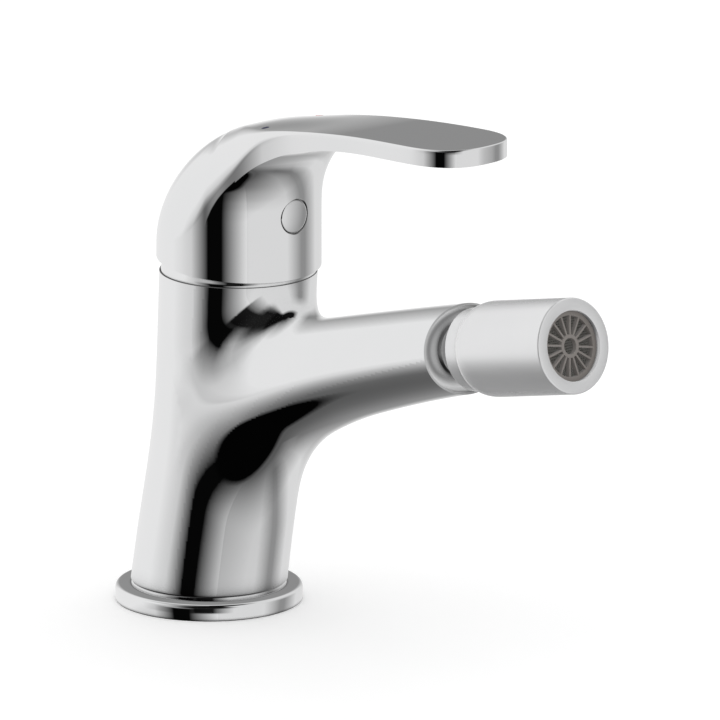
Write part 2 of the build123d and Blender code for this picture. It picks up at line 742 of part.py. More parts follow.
def make_nozzle_housing():
    """The chromed nozzle, from its seam through its round shoulder to its lip."""
    shoulder_length = nozzle_shoulder_end - nozzle_seam
    outline = (
        Line((0, nozzle_seam), (nozzle_neck_radius, nozzle_seam))
        + Spline(
            (nozzle_neck_radius, nozzle_seam),
            (nozzle_radius, nozzle_shoulder_end),
            tangents=[(nozzle_radius - nozzle_neck_radius, shoulder_length), (0, 1)],
        )
        + Line((nozzle_radius, nozzle_shoulder_end), (nozzle_radius, nozzle_end))
        + Line((nozzle_radius, nozzle_end), (0, nozzle_end))
        + Line((0, nozzle_end), (0, nozzle_seam))
    )
    housing = revolve(Plane.XZ * make_face(outline), Axis.Z)
    front_edge = housing.edges().sort_by(Axis.Z)[-1]
    housing = fillet(front_edge, nozzle_edge_radius)
    housing -= rod(nozzle_bore_radius, nozzle_seam - cutter_overrun, nozzle_end - nozzle_lip_thickness)
    return nozzle_place * (housing - rod(nozzle_mouth_radius, nozzle_seam, nozzle_end + cutter_overrun))


insert_radius = nozzle_bore_radius - insert_clearance
strainer_back = ball_cup_front + aerator_seal_height
aerator_cup_back = strainer_back + strainer_height
grille_back = nozzle_end - nozzle_lip_thickness - grille_height


def make_ball_cup():
    """The insert in front of the ball, hollow for the water."""
    cup = rod(insert_radius, ball_cup_back, ball_cup_front)
    cup -= Pos(0, 0, ball_centre) * Sphere(socket_radius)
    return nozzle_place * (cup - rod(ball_cup_water_radius, 0, ball_cup_front + cutter_overrun))


def make_aerator_seal():
    """The flat seal behind the aerator."""
    return nozzle_place * tube(insert_radius, aerator_seal_bore_radius, ball_cup_front, strainer_back)


def make_aerator_strainer():
    """The perforated strainer plate."""
    plate = rod(insert_radius, strainer_back, aerator_cup_back)
    for row_radius, count in strainer_rows:
        for index in range(count):
            angle = 2 * math.pi * index / count
            place = (row_radius * math.cos(angle), row_radius * math.sin(angle))
            low = strainer_back - cutter_overrun
            plate -= rod(strainer_hole_radius, low, aerator_cup_back + cutter_overrun, *place)
    return nozzle_place * plate


def make_aerator_cup():
    """The aerator's cup, open at both ends."""
    inner = insert_radius - aerator_cup_wall
    return nozzle_place * tube(insert_radius, inner, aerator_cup_back, grille_back)


def make_aerator_mesh():
    """The screens in the aerator's cup, as one disc."""
    front = grille_back - mesh_gap
    radius = insert_radius - aerator_cup_wall - seal_clearance
    return nozzle_place * rod(radius, front - mesh_height, front)


def make_aerator_grille():
    """The spoked grille in the nozzle's mouth."""
    front = grille_back + grille_height
    grille = tube(insert_radius, grille_rim_bore_radius, grille_back, front)
    spoke_length = grille_rim_bore_radius - grille_hub_bore_radius
    size = (spoke_length + grille_spoke_width, grille_spoke_width, grille_height)
    spoke = Box(*size, align=(Align.MIN, Align.CENTER, Align.MIN))
    for index in range(grille_spokes):
        turn = Rotation(0, 0, 360 * (index + 0.5) / grille_spokes)
        grille += turn * Pos(grille_hub_bore_radius, 0, grille_back) * spoke
    grille += rod(grille_hub_radius, grille_back, front)
    hub_floor = grille_back + grille_hub_floor
    return nozzle_place * (grille - rod(grille_hub_bore_radius, hub_floor, front + cutter_overrun))


pieces = {
    "base_flange": make_base_flange,
    "base_gasket": make_base_gasket,
    "body_casting": make_body_casting,
    "cartridge_base": make_cartridge_base,
    "port_seals": make_port_seals,
    "ceramic_fixed_disc": make_fixed_disc,
    "ceramic_moving_disc": make_moving_disc,
    "disc_carrier": make_disc_carrier,
    "cartridge_housing": make_cartridge_housing,
    "swivel_sleeve": make_swivel_sleeve,
    "pivot_pin": make_pivot_pin,
    "cartridge_stem": make_cartridge_stem,
    "cartridge_nut": make_cartridge_nut,
    "cover_ring": make_cover_ring,
    "ring_seal": make_ring_seal,
    "lever_handle": make_lever_handle,
    "grub_screw": make_grub_screw,
    "screw_plug": make_screw_plug,
    "hot_mark": lambda: make_mark(1),
    "cold_mark": lambda: make_mark(-1),
    "ball_stem": make_ball_stem,
    "rear_seat_ring": make_rear_seat,
    "front_seat_ring": make_front_seat,
    "nozzle_collar": make_nozzle_collar,
    "nozzle_housing": make_nozzle_housing,
    "ball_cup": make_ball_cup,
    "aerator_seal": make_aerator_seal,
    "aerator_strainer": make_aerator_strainer,
    "aerator_cup": make_aerator_cup,
    "aerator_mesh": make_aerator_mesh,
    "aerator_grille": make_aerator_grille,
}

os.makedirs("parts", exist_ok=True)
for name, make in pieces.items():
    export_step(make(), f"parts/{name}.step")
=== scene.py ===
"""The looks of a single-lever bidet mixer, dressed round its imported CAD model.

Lengths in the classes are millimetres, in the CAD model's frame: +Z is up and +X runs out along
the spout. They become metres where a mesh is made.
"""

import json
import logging
import math
from dataclasses import dataclass, replace
from enum import Enum
from typing import Callable, Sequence

import bmesh
import bpy
import numpy as np
from mathutils import Matrix, Vector
from mathutils.bvhtree import BVHTree

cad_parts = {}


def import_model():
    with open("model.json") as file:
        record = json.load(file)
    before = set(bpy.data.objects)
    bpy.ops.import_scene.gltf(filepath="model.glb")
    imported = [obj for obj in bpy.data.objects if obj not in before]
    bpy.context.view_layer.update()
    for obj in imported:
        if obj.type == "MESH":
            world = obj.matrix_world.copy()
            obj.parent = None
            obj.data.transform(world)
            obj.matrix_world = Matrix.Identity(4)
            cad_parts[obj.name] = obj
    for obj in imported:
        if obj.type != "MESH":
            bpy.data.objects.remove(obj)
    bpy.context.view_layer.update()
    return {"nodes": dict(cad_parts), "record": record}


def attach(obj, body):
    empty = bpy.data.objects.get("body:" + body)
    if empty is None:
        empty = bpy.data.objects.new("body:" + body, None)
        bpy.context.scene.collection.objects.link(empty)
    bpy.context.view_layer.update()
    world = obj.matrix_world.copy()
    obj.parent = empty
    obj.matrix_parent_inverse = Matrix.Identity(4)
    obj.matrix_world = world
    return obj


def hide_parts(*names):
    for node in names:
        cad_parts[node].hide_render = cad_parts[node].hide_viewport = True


MM = 0.001
SMOOTH_ANGLE = math.radians(32)
MERGE_REACH = 2e-6  # metres between points that are one
SLIVER = 1e-7  # metres along an edge that is none
ON_PLANE = 1e-3  # millimetres from a plane that count as on it
CUT_MERGE = 1e-5  # millimetres from a cut that a point is taken onto it
AT_POLE = 1e-6  # millimetres from a pole that count as on it
TINY = 1e-9  # keeps a divisor from 0
EASE_READS = 17  # readings that spread a bend
Point = tuple[float, float]
Triple = tuple[float, float, float]
Table = Sequence[Point]

log = logging.getLogger("bidet_mixer")


# Curves and meshes


def cubic_read(x: np.ndarray, y: np.ndarray, slope: np.ndarray, at: np.ndarray) -> np.ndarray:
    """Reads the cubic curve through points of known slope.

    Args:
        x: The points' places, in rising order.
        y: Their values.
        slope: Their slopes.
        at: The places to read, from the first point to the last.

    Returns:
        The value at each place.
    """
    step = np.diff(x)
    i = np.clip(np.searchsorted(x, at) - 1, 0, len(step) - 1)
    t = (at - x[i]) / step[i]
    return (
        (1 + 2 * t) * (1 - t) ** 2 * y[i]
        + t * (1 - t) ** 2 * step[i] * slope[i]
        + t * t * (3 - 2 * t) * y[i + 1]
        + t * t * (t - 1) * step[i] * slope[i + 1]
    )


def smooth_curve(table: Table, at: np.ndarray) -> np.ndarray:
    """Reads a table along a curve with no overshoot.

    Args:
        table: Places and values, in rising order of place.
        at: The places to read.

    Returns:
        The value at each place, held past both ends.
    """
    x, y = np.array(table, float).T
    step = np.diff(x)
    rise = np.diff(y) / step
    slope = np.zeros_like(y)
    same = rise[:-1] * rise[1:] > 0
    near, far = 2 * step[1:] + step[:-1], step[1:] + 2 * step[:-1]
    safe = np.where(same, rise[:-1], 1.0), np.where(same, rise[1:], 1.0)
    slope[1:-1] = np.where(same, (near + far) / (near / safe[0] + far / safe[1]), 0.0)
    slope[0], slope[-1] = rise[0], rise[-1]
    return cubic_read(x, y, slope, np.clip(np.asarray(at, float), x[0], x[-1]))


def spline(table: Table, at: np.ndarray, ends: Point | None = None) -> np.ndarray:
    """Reads a table along a cubic spline whose curvature has no steps.

    Args:
        table: Places and values, in rising order of place.
        at: The places to read; past the ends the line runs on straight.
        ends: The slope at both ends, or None for ends without curvature.

    Returns:
        The value at each place.
    """
    x, y = np.array(table, float).T
    n, step = len(x), np.diff(x)
    rise = np.diff(y) / step
    grid, right = np.zeros((n, n)), np.zeros(n)
    for i in range(1, n - 1):
        grid[i, i - 1 : i + 2] = step[i], 2 * (step[i - 1] + step[i]), step[i - 1]
        right[i] = 3 * (step[i] * rise[i - 1] + step[i - 1] * rise[i])
    if ends is None:
        grid[0, :2], right[0] = (2, 1), 3 * rise[0]
        grid[-1, -2:], right[-1] = (1, 2), 3 * rise[-1]
    else:
        grid[0, 0], right[0] = 1, ends[0]
        grid[-1, -1], right[-1] = 1, ends[1]
    slope = np.linalg.solve(grid, right)
    at = np.asarray(at, float)
    value = cubic_read(x, y, slope, np.clip(at, x[0], x[-1]))
    return value + np.where(at < x[0], (at - x[0]) * slope[0], 0) + np.where(
        at > x[-1], (at - x[-1]) * slope[-1], 0
    )


def spline_slope(
    table: Table, at: np.ndarray, step: float, ends: Point | None = None
) -> np.ndarray:
    """Reads the slope of a table's spline.

    Args:
        table: Places and values, in rising order of place.
        at: The places to read.
        step: How far to either side the spline is read.
        ends: The slope at both ends, or None for ends without curvature.

    Returns:
        The slope at each place.
    """
    return (spline(table, at + step, ends) - spline(table, at - step, ends)) / (2 * step)


def spline_at(table: Table, place: float) -> float:
    """Reads a table along its spline at one place."""
    return float(spline(table, np.array([place]))[0])


def eased_curve(table: Table, at: np.ndarray, reach: float) -> np.ndarray:
    """Reads a table along a curve whose bends are spread out.

    Args:
        table: Places and values, in rising order of place.
        at: The places to read.
        reach: How far each bend is spread to either side.

    Returns:
        The value at each place.
    """
    shifts = np.linspace(-1, 1, EASE_READS)
    weights = (1 - shifts**2) ** 2
    read = [w * smooth_curve(table, at + reach * shift) for shift, w in zip(shifts, weights)]
    return np.sum(read, 0) / weights.sum()


def rounded_profile(corners: Sequence[Triple], steps: int = 6) -> list[Point]:
    """Rounds the corners of a closed outline.

    Args:
        corners: Radius from the axis, place along it, and the corner's own radius.
        steps: Spans in each round corner.

    Returns:
        The outline's points in the same order.
    """
    points: list[Point] = []
    for index, (r, s, size) in enumerate(corners):
        here = Vector((r, s))
        if size <= 0:
            points.append((r, s))
            continue
        before = (Vector(corners[index - 1][:2]) - here).normalized()
        after = (Vector(corners[(index + 1) % len(corners)][:2]) - here).normalized()
        half = before.angle(after) / 2
        reach = size / math.tan(half)
        middle = here + (before + after).normalized() * (size / math.sin(half))
        first, last = here + before * reach - middle, here + after * reach - middle
        turn = first.angle(last)
        for step in range(steps + 1):
            t = step / steps
            a, b = math.sin((1 - t) * turn), math.sin(t * turn)
            place = middle + (first * a + last * b) / math.sin(turn)
            points.append((place.x, place.y))
    return points


def turned(profile: Sequence[Point], segments: int) -> tuple[np.ndarray, list[tuple[int, ...]]]:
    """Turns a closed outline about the Z axis.

    Args:
        profile: Radius and height of each point, anticlockwise with the radius to the right.
        segments: Faces round the axis.

    Returns:
        The vertices, in millimetres, and the faces.
    """
    angles = np.linspace(0, 2 * math.pi, segments, endpoint=False)
    count = len(profile)
    verts = np.array(
        [(r * math.cos(a), r * math.sin(a), s) for a in angles for r, s in profile], float
    )
    faces = []
    for i in range(segments):
        j = (i + 1) % segments
        for k in range(count):
            m = (k + 1) % count
            faces.append((i * count + k, j * count + k, j * count + m, i * count + m))
    return verts, faces


def axis_place(origin: Sequence[float], axis: Sequence[float]) -> Matrix:
    """The turn and shift, in millimetres, that takes the Z axis to a line in the XZ plane.

    Args:
        origin: A point of the line.
        axis: The way that it runs.

    Returns:
        The matrix.
    """
    z = Vector(axis).normalized()
    x = Vector((0, 1, 0))
    y = z.cross(x)
    return Matrix.Translation(Vector(origin)) @ Matrix((x, y, z)).transposed().to_4x4()


def put(name: str, data: bpy.types.ID) -> bpy.types.Object:
    """Puts an object in the scene.

    Args:
        name: The object's name.
        data: Its mesh or camera.

    Returns:
        The object.
    """
    thing = bpy.data.objects.new(name, data)
    bpy.context.scene.collection.objects.link(thing)
    return thing


def add_piece(
    name: str,
    verts: np.ndarray,
    faces: Sequence[Sequence[int]],
    material: bpy.types.Material,
    place: Matrix | None = None,
    mend: bool = True,
) -> bpy.types.Object:
    """Makes a closed piece in the scene.

    Args:
        name: The piece's name.
        verts: Its vertices, in millimetres.
        faces: Its faces.
        material: What it is finished in.
        place: A turn and shift in millimetres, or None.
        mend: Whether doubles are merged and the faces turned outwards.

    Returns:
        The object, at the origin, with its place in its mesh.
    """
    mesh = bpy.data.meshes.new(name)
    mesh.from_pydata([tuple(v) for v in verts], [], [tuple(f) for f in faces])
    if place is not None:
        mesh.transform(place)
    mesh.transform(Matrix.Scale(MM, 4))
    if mend:
        form = bmesh.new()
        form.from_mesh(mesh)
        bmesh.ops.remove_doubles(form, verts=form.verts, dist=MERGE_REACH)
        bmesh.ops.dissolve_degenerate(form, edges=form.edges, dist=SLIVER)
        bmesh.ops.recalc_face_normals(form, faces=form.faces)
        form.to_mesh(mesh)
        form.free()
    piece = put(name, mesh)
    dress(piece, material)
    return piece


def dress(piece: bpy.types.Object, material: bpy.types.Material) -> None:
    """Gives a piece its material and smooth faces between its sharp edges.

    Args:
        piece: The piece.
        material: What it is finished in.
    """
    mesh = piece.data
    mesh.materials.clear()
    mesh.materials.append(material)
    mesh.shade_smooth()
    mesh.set_sharp_from_angle(angle=SMOOTH_ANGLE)


def settle(piece: bpy.types.Object, body: str, slot: str, *nodes: str) -> bpy.types.Object:
    """Sets a piece on its CAD body in place of its CAD nodes.

    Polished pieces mirror the studio alone, so none is seen in another.

    Args:
        piece: The piece.
        body: The body that carries it.
        slot: Its material slot in the record; not used.
        nodes: The CAD nodes that it replaces.

    Returns:
        The piece.
    """
    piece.visible_glossy = False
    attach(piece, body)
    if nodes:
        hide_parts(*nodes)
    log.info("%s: %d faces on %s", piece.name, len(piece.data.polygons), body)
    return piece


def cut(piece: bpy.types.Object, cutter: bpy.types.Object) -> None:
    """Cuts one closed piece out of another and removes the cutter.

    Args:
        piece: The piece that is cut.
        cutter: The piece that is cut away.
    """
    modifier = piece.modifiers.new("cut", "BOOLEAN")
    modifier.operation, modifier.solver, modifier.object = "DIFFERENCE", "EXACT", cutter
    graph = bpy.context.evaluated_depsgraph_get()
    made = bpy.data.meshes.new_from_object(piece.evaluated_get(graph))
    piece.modifiers.remove(modifier)
    material = piece.data.materials[0]
    piece.data = made
    bpy.data.objects.remove(cutter)
    dress(piece, material)


# Node trees


@dataclass
class TreeMaker:
    """Adds nodes to a node tree and joins them.

    Attributes:
        tree: The node tree.
    """

    tree: bpy.types.NodeTree

    def add(
        self, kind: str, inputs: dict[str | int, object] | None = None, **settings: object
    ) -> bpy.types.Node:
        """Adds a node.

        Args:
            kind: Its type.
            inputs: The socket that each input is joined to, or the value that it is set to.
            settings: Its other settings.

        Returns:
            The node.
        """
        node = self.tree.nodes.new(kind)
        for name, value in settings.items():
            setattr(node, name, value)
        for socket, value in (inputs or {}).items():
            self.join(value, node, socket)
        return node

    def join(self, source: object, node: bpy.types.Node, socket: str | int) -> None:
        """Links a node's input to a socket, or sets it to a value.

        Args:
            source: The socket or value.
            node: The node.
            socket: The name or number of its input.
        """
        if isinstance(source, bpy.types.NodeSocket):
            self.tree.links.new(source, node.inputs[socket])
        else:
            node.inputs[socket].default_value = source

    def math(self, operation: str, *values: object) -> bpy.types.NodeSocket:
        """Adds one Math node over sockets or numbers."""
        return self.add("ShaderNodeMath", dict(enumerate(values)), operation=operation).outputs[0]

    def vector(self, *values: object) -> bpy.types.NodeSocket:
        """Makes a vector of three sockets or numbers."""
        return self.add("ShaderNodeCombineXYZ", dict(enumerate(values))).outputs[0]


# Finishes

DRIFT_SCALE = 28.0
DRIFT_DETAIL = 3.0
DRIFT_SPAN = (0.35, 0.65)
GRAIN_DETAIL = 4.0
TURNED_STRETCH = (0.15, 0.15, 1.0)
RELIEF_STRENGTH = 0.6
# Painted shade in narrow gaps: samples of the occlusion, the occlusion span that is darkened, and
# the darkest share of the colour that is kept.
PAINTED_SHADE_SAMPLES = 8
PAINTED_SHADE_SPAN = (0.45, 0.9)
PAINTED_SHADE_DARKEST = 0.06


class Grain(Enum):
    """How a surface is worked, seen close up."""

    POLISHED = "polished"
    TURNED = "turned"
    MOULDED = "moulded"
    MATT = "matt"


@dataclass(frozen=True)
class Finish:
    """A surface finish, built as a procedural material.

    Attributes:
        name: The material's name.
        colour: Linear base colour.
        shade: A second base colour that drifts through the first.
        metallic: 1 for metal, 0 for anything else.
        roughness: The lowest and highest roughness.
        grain: How the surface is worked.
        grain_size: The grain's scale, in cells to the metre.
        relief: The height of the grain, in millimetres.
        shine: Strength of the shine that is not metal's; 0.5 is plain.
        painted_shade_reach: How far into a narrow gap shade is painted into its colour, in
            millimetres; 0 for not at all.
    """

    name: str
    colour: Triple
    shade: Triple
    metallic: float = 0.0
    roughness: Point = (0.4, 0.5)
    grain: Grain = Grain.MOULDED
    grain_size: float = 900.0
    relief: float = 0.0
    shine: float = 0.5
    painted_shade_reach: float = 0.0

    def material(self) -> bpy.types.Material:
        """Builds the material, or finds it if it was built before.

        Returns:
            The node material.
        """
        if self.name in bpy.data.materials:
            return bpy.data.materials[self.name]
        material = bpy.data.materials.new(self.name)
        material.use_nodes = True
        maker = TreeMaker(material.node_tree)
        shader = maker.tree.nodes["Principled BSDF"]
        maker.join(self.metallic, shader, "Metallic")
        maker.join(self.shine, shader, "Specular IOR Level")
        place = maker.add("ShaderNodeTexCoord").outputs["Object"]
        drift = self._noise(maker, place, DRIFT_SCALE, DRIFT_DETAIL)
        stretch = maker.add("ShaderNodeMapping", {"Vector": place})
        if self.grain is Grain.TURNED:
            maker.join(TURNED_STRETCH, stretch, "Scale")
        fine = self._noise(maker, stretch.outputs["Vector"], self.grain_size, GRAIN_DETAIL)
        maker.join(self._colour(maker, drift), shader, "Base Color")
        source = drift if self.grain is Grain.POLISHED else fine
        low, high = self.roughness
        spread = maker.add("ShaderNodeMapRange", {"Value": source, "To Min": low, "To Max": high})
        maker.join(spread.outputs["Result"], shader, "Roughness")
        if self.relief > 0:
            bump = maker.add(
                "ShaderNodeBump",
                {"Distance": self.relief * MM, "Strength": RELIEF_STRENGTH, "Height": fine},
            )
            maker.join(bump.outputs["Normal"], shader, "Normal")
        return material

    @staticmethod
    def _noise(
        maker: TreeMaker, place: bpy.types.NodeSocket, scale: float, detail: float
    ) -> bpy.types.NodeSocket:
        """Adds a noise texture.

        Args:
            maker: The material's node tree.
            place: The coordinates that it reads.
            scale: Its cells to the metre.
            detail: Its finer layers.

        Returns:
            The noise's value.
        """
        inputs = {"Vector": place, "Scale": scale, "Detail": detail}
        return maker.add("ShaderNodeTexNoise", inputs).outputs[0]

    def _colour(self, maker: TreeMaker, drift: bpy.types.NodeSocket) -> bpy.types.NodeSocket:
        """Drifts between the two colours, and paints shade into them in narrow gaps.

        Args:
            maker: The material's node tree.
            drift: The noise that the colour follows.

        Returns:
            The colour, with the painted shade.
        """
        tint = maker.add("ShaderNodeValToRGB", {"Fac": drift})
        for element, place, colour in zip(
            tint.color_ramp.elements, DRIFT_SPAN, (self.colour, self.shade)
        ):
            element.position, element.color = place, (*colour, 1)
        if self.painted_shade_reach <= 0:
            return tint.outputs["Color"]
        # Painted shade: ambient occlusion darkens the base colour in narrow gaps, where shade
        # falls.
        closed = maker.add(
            "ShaderNodeAmbientOcclusion", {"Distance": self.painted_shade_reach * MM}, samples=PAINTED_SHADE_SAMPLES
        )
        inputs = {
            "Value": closed.outputs["AO"], "From Min": PAINTED_SHADE_SPAN[0], "From Max": PAINTED_SHADE_SPAN[1],
            "To Min": PAINTED_SHADE_DARKEST,
        }
        depth = maker.add("ShaderNodeMapRange", inputs).outputs["Result"]
        with_painted_shade = maker.add(
            "ShaderNodeVectorMath", {0: tint.outputs["Color"], "Scale": depth}, operation="SCALE"
        )
        return with_painted_shade.outputs["Vector"]


# The chromed finishes paint shade into the base colour of their narrow gaps.
CHROME = Finish(
    "polished_chrome", (0.90, 0.90, 0.905), (0.885, 0.89, 0.895), 1.0, (0.02, 0.045),
    Grain.POLISHED, painted_shade_reach=7.0,
)
RING_CHROME = replace(CHROME, name="ring_chrome", painted_shade_reach=1.2)
CHROMED_ZINC = replace(CHROME, name="chromed_zinc", painted_shade_reach=1.5)
CHROMED_PLASTIC = Finish(
    "satin_chromed_plastic", (0.88, 0.88, 0.885), (0.865, 0.867, 0.875), 0.68, (0.20, 0.25),
    Grain.POLISHED, painted_shade_reach=3.0,
)
BRASS = Finish(
    "raw_brass", (0.60, 0.42, 0.17), (0.52, 0.36, 0.14), 1.0, (0.22, 0.38),
    Grain.TURNED, 2600.0, 0.02,
)
STEEL = Finish(
    "plain_steel", (0.52, 0.52, 0.53), (0.46, 0.46, 0.47), 1.0, (0.25, 0.4),
    Grain.TURNED, 2600.0, 0.02,
)
MESH_STEEL = Finish(
    "screen_steel", (0.16, 0.155, 0.14), (0.12, 0.115, 0.105), 1.0, (0.35, 0.5),
    Grain.MATT, 1800.0,
)
CERAMIC = Finish(
    "lapped_ceramic", (0.78, 0.75, 0.68), (0.72, 0.69, 0.63), 0.0, (0.12, 0.2),
    Grain.MATT, 1500.0, 0.005,
)
WHITE_PLASTIC = Finish(
    "white_acetal", (0.78, 0.78, 0.76), (0.72, 0.72, 0.70), 0.0, (0.38, 0.5),
    Grain.MOULDED, 1400.0, 0.02,
)
GREY_PLASTIC = Finish(
    "warm_grey_plastic", (0.235, 0.215, 0.20), (0.205, 0.185, 0.172), 0.0, (0.36, 0.5),
    Grain.MOULDED, 1600.0, 0.03,
)
RUBBER = Finish(
    "black_rubber", (0.022, 0.022, 0.024), (0.03, 0.03, 0.032), 0.0, (0.6, 0.8),
    Grain.MATT, 1200.0, 0.05,
)
RED_ENAMEL = Finish(
    "red_enamel", (0.42, 0.012, 0.016), (0.36, 0.01, 0.014), 0.0, (0.3, 0.4),
    Grain.POLISHED, shine=0.1,
)
BLUE_ENAMEL = Finish(
    "navy_enamel", (0.008, 0.010, 0.06), (0.010, 0.014, 0.08), 0.0, (0.3, 0.4),
    Grain.POLISHED, shine=0.1,
)

SLOT_FINISHES: dict[str, Finish] = {
    "chrome": CHROME,
    "chrome_zinc": CHROMED_ZINC,
    "chrome_plastic": CHROMED_PLASTIC,
    "brass": BRASS,
    "steel": STEEL,
    "steel_mesh": MESH_STEEL,
    "ceramic": CERAMIC,
    "white_plastic": WHITE_PLASTIC,
    "grey_plastic": GREY_PLASTIC,
    "black_rubber": RUBBER,
    "red_enamel": RED_ENAMEL,
    "blue_enamel": BLUE_ENAMEL,
}


# Camera, light and floor


@dataclass
class PhotoCamera:
    """The photographer's long lens, a little above the spout.

    Attributes:
        aim: What the middle of the frame looks at, in millimetres.
        back: The direction from there to the camera.
        distance: How far off it stands, in millimetres.
        view_width: The width that it takes in at the aim, in millimetres.
        sensor: The width of its sensor, in millimetres.
        clip: The nearest and farthest that it sees, in metres.
    """

    aim: Triple = (64.35, 0.0, 84.0)
    back: Triple = (0.7023, -0.6664, 0.2504)
    distance: float = 7000.0
    view_width: float = 209.3
    sensor: float = 36.0
    clip: Point = (0.05, 60.0)

    def build(self) -> bpy.types.Object:
        """Stands the camera in the scene.

        Returns:
            The camera.
        """
        data = bpy.data.cameras.new("photo_camera")
        data.sensor_width = self.sensor
        data.lens = data.sensor_width * self.distance / self.view_width
        data.clip_start, data.clip_end = self.clip
        camera = put("photo_camera", data)
        back = Vector(self.back).normalized()
        camera.location = (Vector(self.aim) + back * self.distance) * MM
        camera.rotation_mode = "QUATERNION"
        camera.rotation_quaternion = (-back).to_track_quat("-Z", "Y")
        bpy.context.scene.camera = camera
        log.info("camera %.0f mm off", self.distance)
        return camera


@dataclass(frozen=True)
class Card:
    """A card or gap in the studio, one side of the room wide, that polished metal reflects.

    Attributes:
        level: The light it sends, where 1 is white.
        turn: Its start and end round the object, in degrees to the left of the camera.
        height: Its lowest and highest elevation, in degrees.
        soft: How far it fades beyond its right, left, lower and upper side, in degrees.
    """

    level: float
    turn: Point
    height: Point
    soft: tuple[float, float, float, float]


@dataclass(frozen=True)
class Disc:
    """A round card, seen under one angle whichever way it is tilted.

    Attributes:
        level: The light it sends, where 1 is white.
        turn: Where its middle is, in degrees to the left of the camera.
        height: The elevation of its middle, in degrees.
        radius: The angle from its middle to its edge, in degrees.
        soft: How far it fades beyond its edge, in degrees.
    """

    level: float
    turn: float
    height: float
    radius: float
    soft: float


@dataclass
class WorldTree(TreeMaker):
    """The world's node tree, and the sockets that every card reads.

    Attributes:
        front: The direction of the camera, in degrees from +X.
    """

    front: float

    def __post_init__(self) -> None:
        """Works out the direction that a ray leaves in."""
        self.direction = self.add("ShaderNodeTexCoord").outputs["Generated"]
        parts = self.add("ShaderNodeSeparateXYZ", {0: self.direction})
        front = math.radians(self.front)
        along = self.math(
            "ADD",
            self.math("MULTIPLY", parts.outputs[0], math.cos(front)),
            self.math("MULTIPLY", parts.outputs[1], math.sin(front)),
        )
        across = self.math(
            "ADD",
            self.math("MULTIPLY", parts.outputs[0], math.sin(front)),
            self.math("MULTIPLY", parts.outputs[1], -math.cos(front)),
        )
        self.turn = self.math("DEGREES", self.math("ARCTAN2", across, along))
        self.whole_turn = self.math("MODULO", self.math("ADD", self.turn, 360.0), 360.0)
        self.height = self.math("DEGREES", self.math("ARCSINE", parts.outputs[2]))

    def fade(self, value: bpy.types.NodeSocket, start: float, end: float) -> bpy.types.NodeSocket:
        """Rises in a straight line from 0 to 1.

        Args:
            value: The value that is followed.
            start: Where it reads 0.
            end: Where it reads 1.

        Returns:
            The share.
        """
        inputs = {"Value": value, "From Min": start, "From Max": end}
        return self.add("ShaderNodeMapRange", inputs).outputs["Result"]

    def amount(self, card: Card | Disc) -> bpy.types.NodeSocket:
        """How much of a card a ray meets.

        Args:
            card: The card.

        Returns:
            A socket, 1 on the card and 0 clear of it.
        """
        if isinstance(card, Disc):
            turn, height = math.radians(self.front - card.turn), math.radians(card.height)
            middle = (
                math.cos(height) * math.cos(turn),
                math.cos(height) * math.sin(turn),
                math.sin(height),
            )
            away = self.add(
                "ShaderNodeVectorMath", {0: self.direction, 1: middle}, operation="DOT_PRODUCT"
            )
            angle = self.math("DEGREES", self.math("ARCCOSINE", away.outputs["Value"]))
            return self.fade(angle, card.radius + card.soft, card.radius)
        turn = self.whole_turn if card.turn[1] > 180 else self.turn
        right, left, low, high = card.soft
        sides = self.math(
            "MULTIPLY",
            self.fade(turn, card.turn[0] - right, card.turn[0]),
            self.fade(turn, card.turn[1] + left, card.turn[1]),
        )
        ends = self.math(
            "MULTIPLY",
            self.fade(self.height, card.height[0] - low, card.height[0]),
            self.fade(self.height, card.height[1] + high, card.height[1]),
        )
        return self.math("MULTIPLY", sides, ends)

    def over(self, level: object, card: Card | Disc) -> bpy.types.NodeSocket:
        """Lays a card over what is there.

        Args:
            level: The level so far, a socket or a number.
            card: The card.

        Returns:
            The level with the card in place.
        """
        return self.pick(self.amount(card), level, card.level)

    def pick(
        self, share: bpy.types.NodeSocket, first: object, second: object
    ) -> bpy.types.NodeSocket:
        """Mixes two levels.

        Args:
            share: 0 for the first and 1 for the second.
            first: A socket or a number.
            second: A socket or a number.

        Returns:
            The level.
        """
        inputs = {0: share, 2: first, 3: second}
        return self.add("ShaderNodeMix", inputs, data_type="FLOAT").outputs[0]


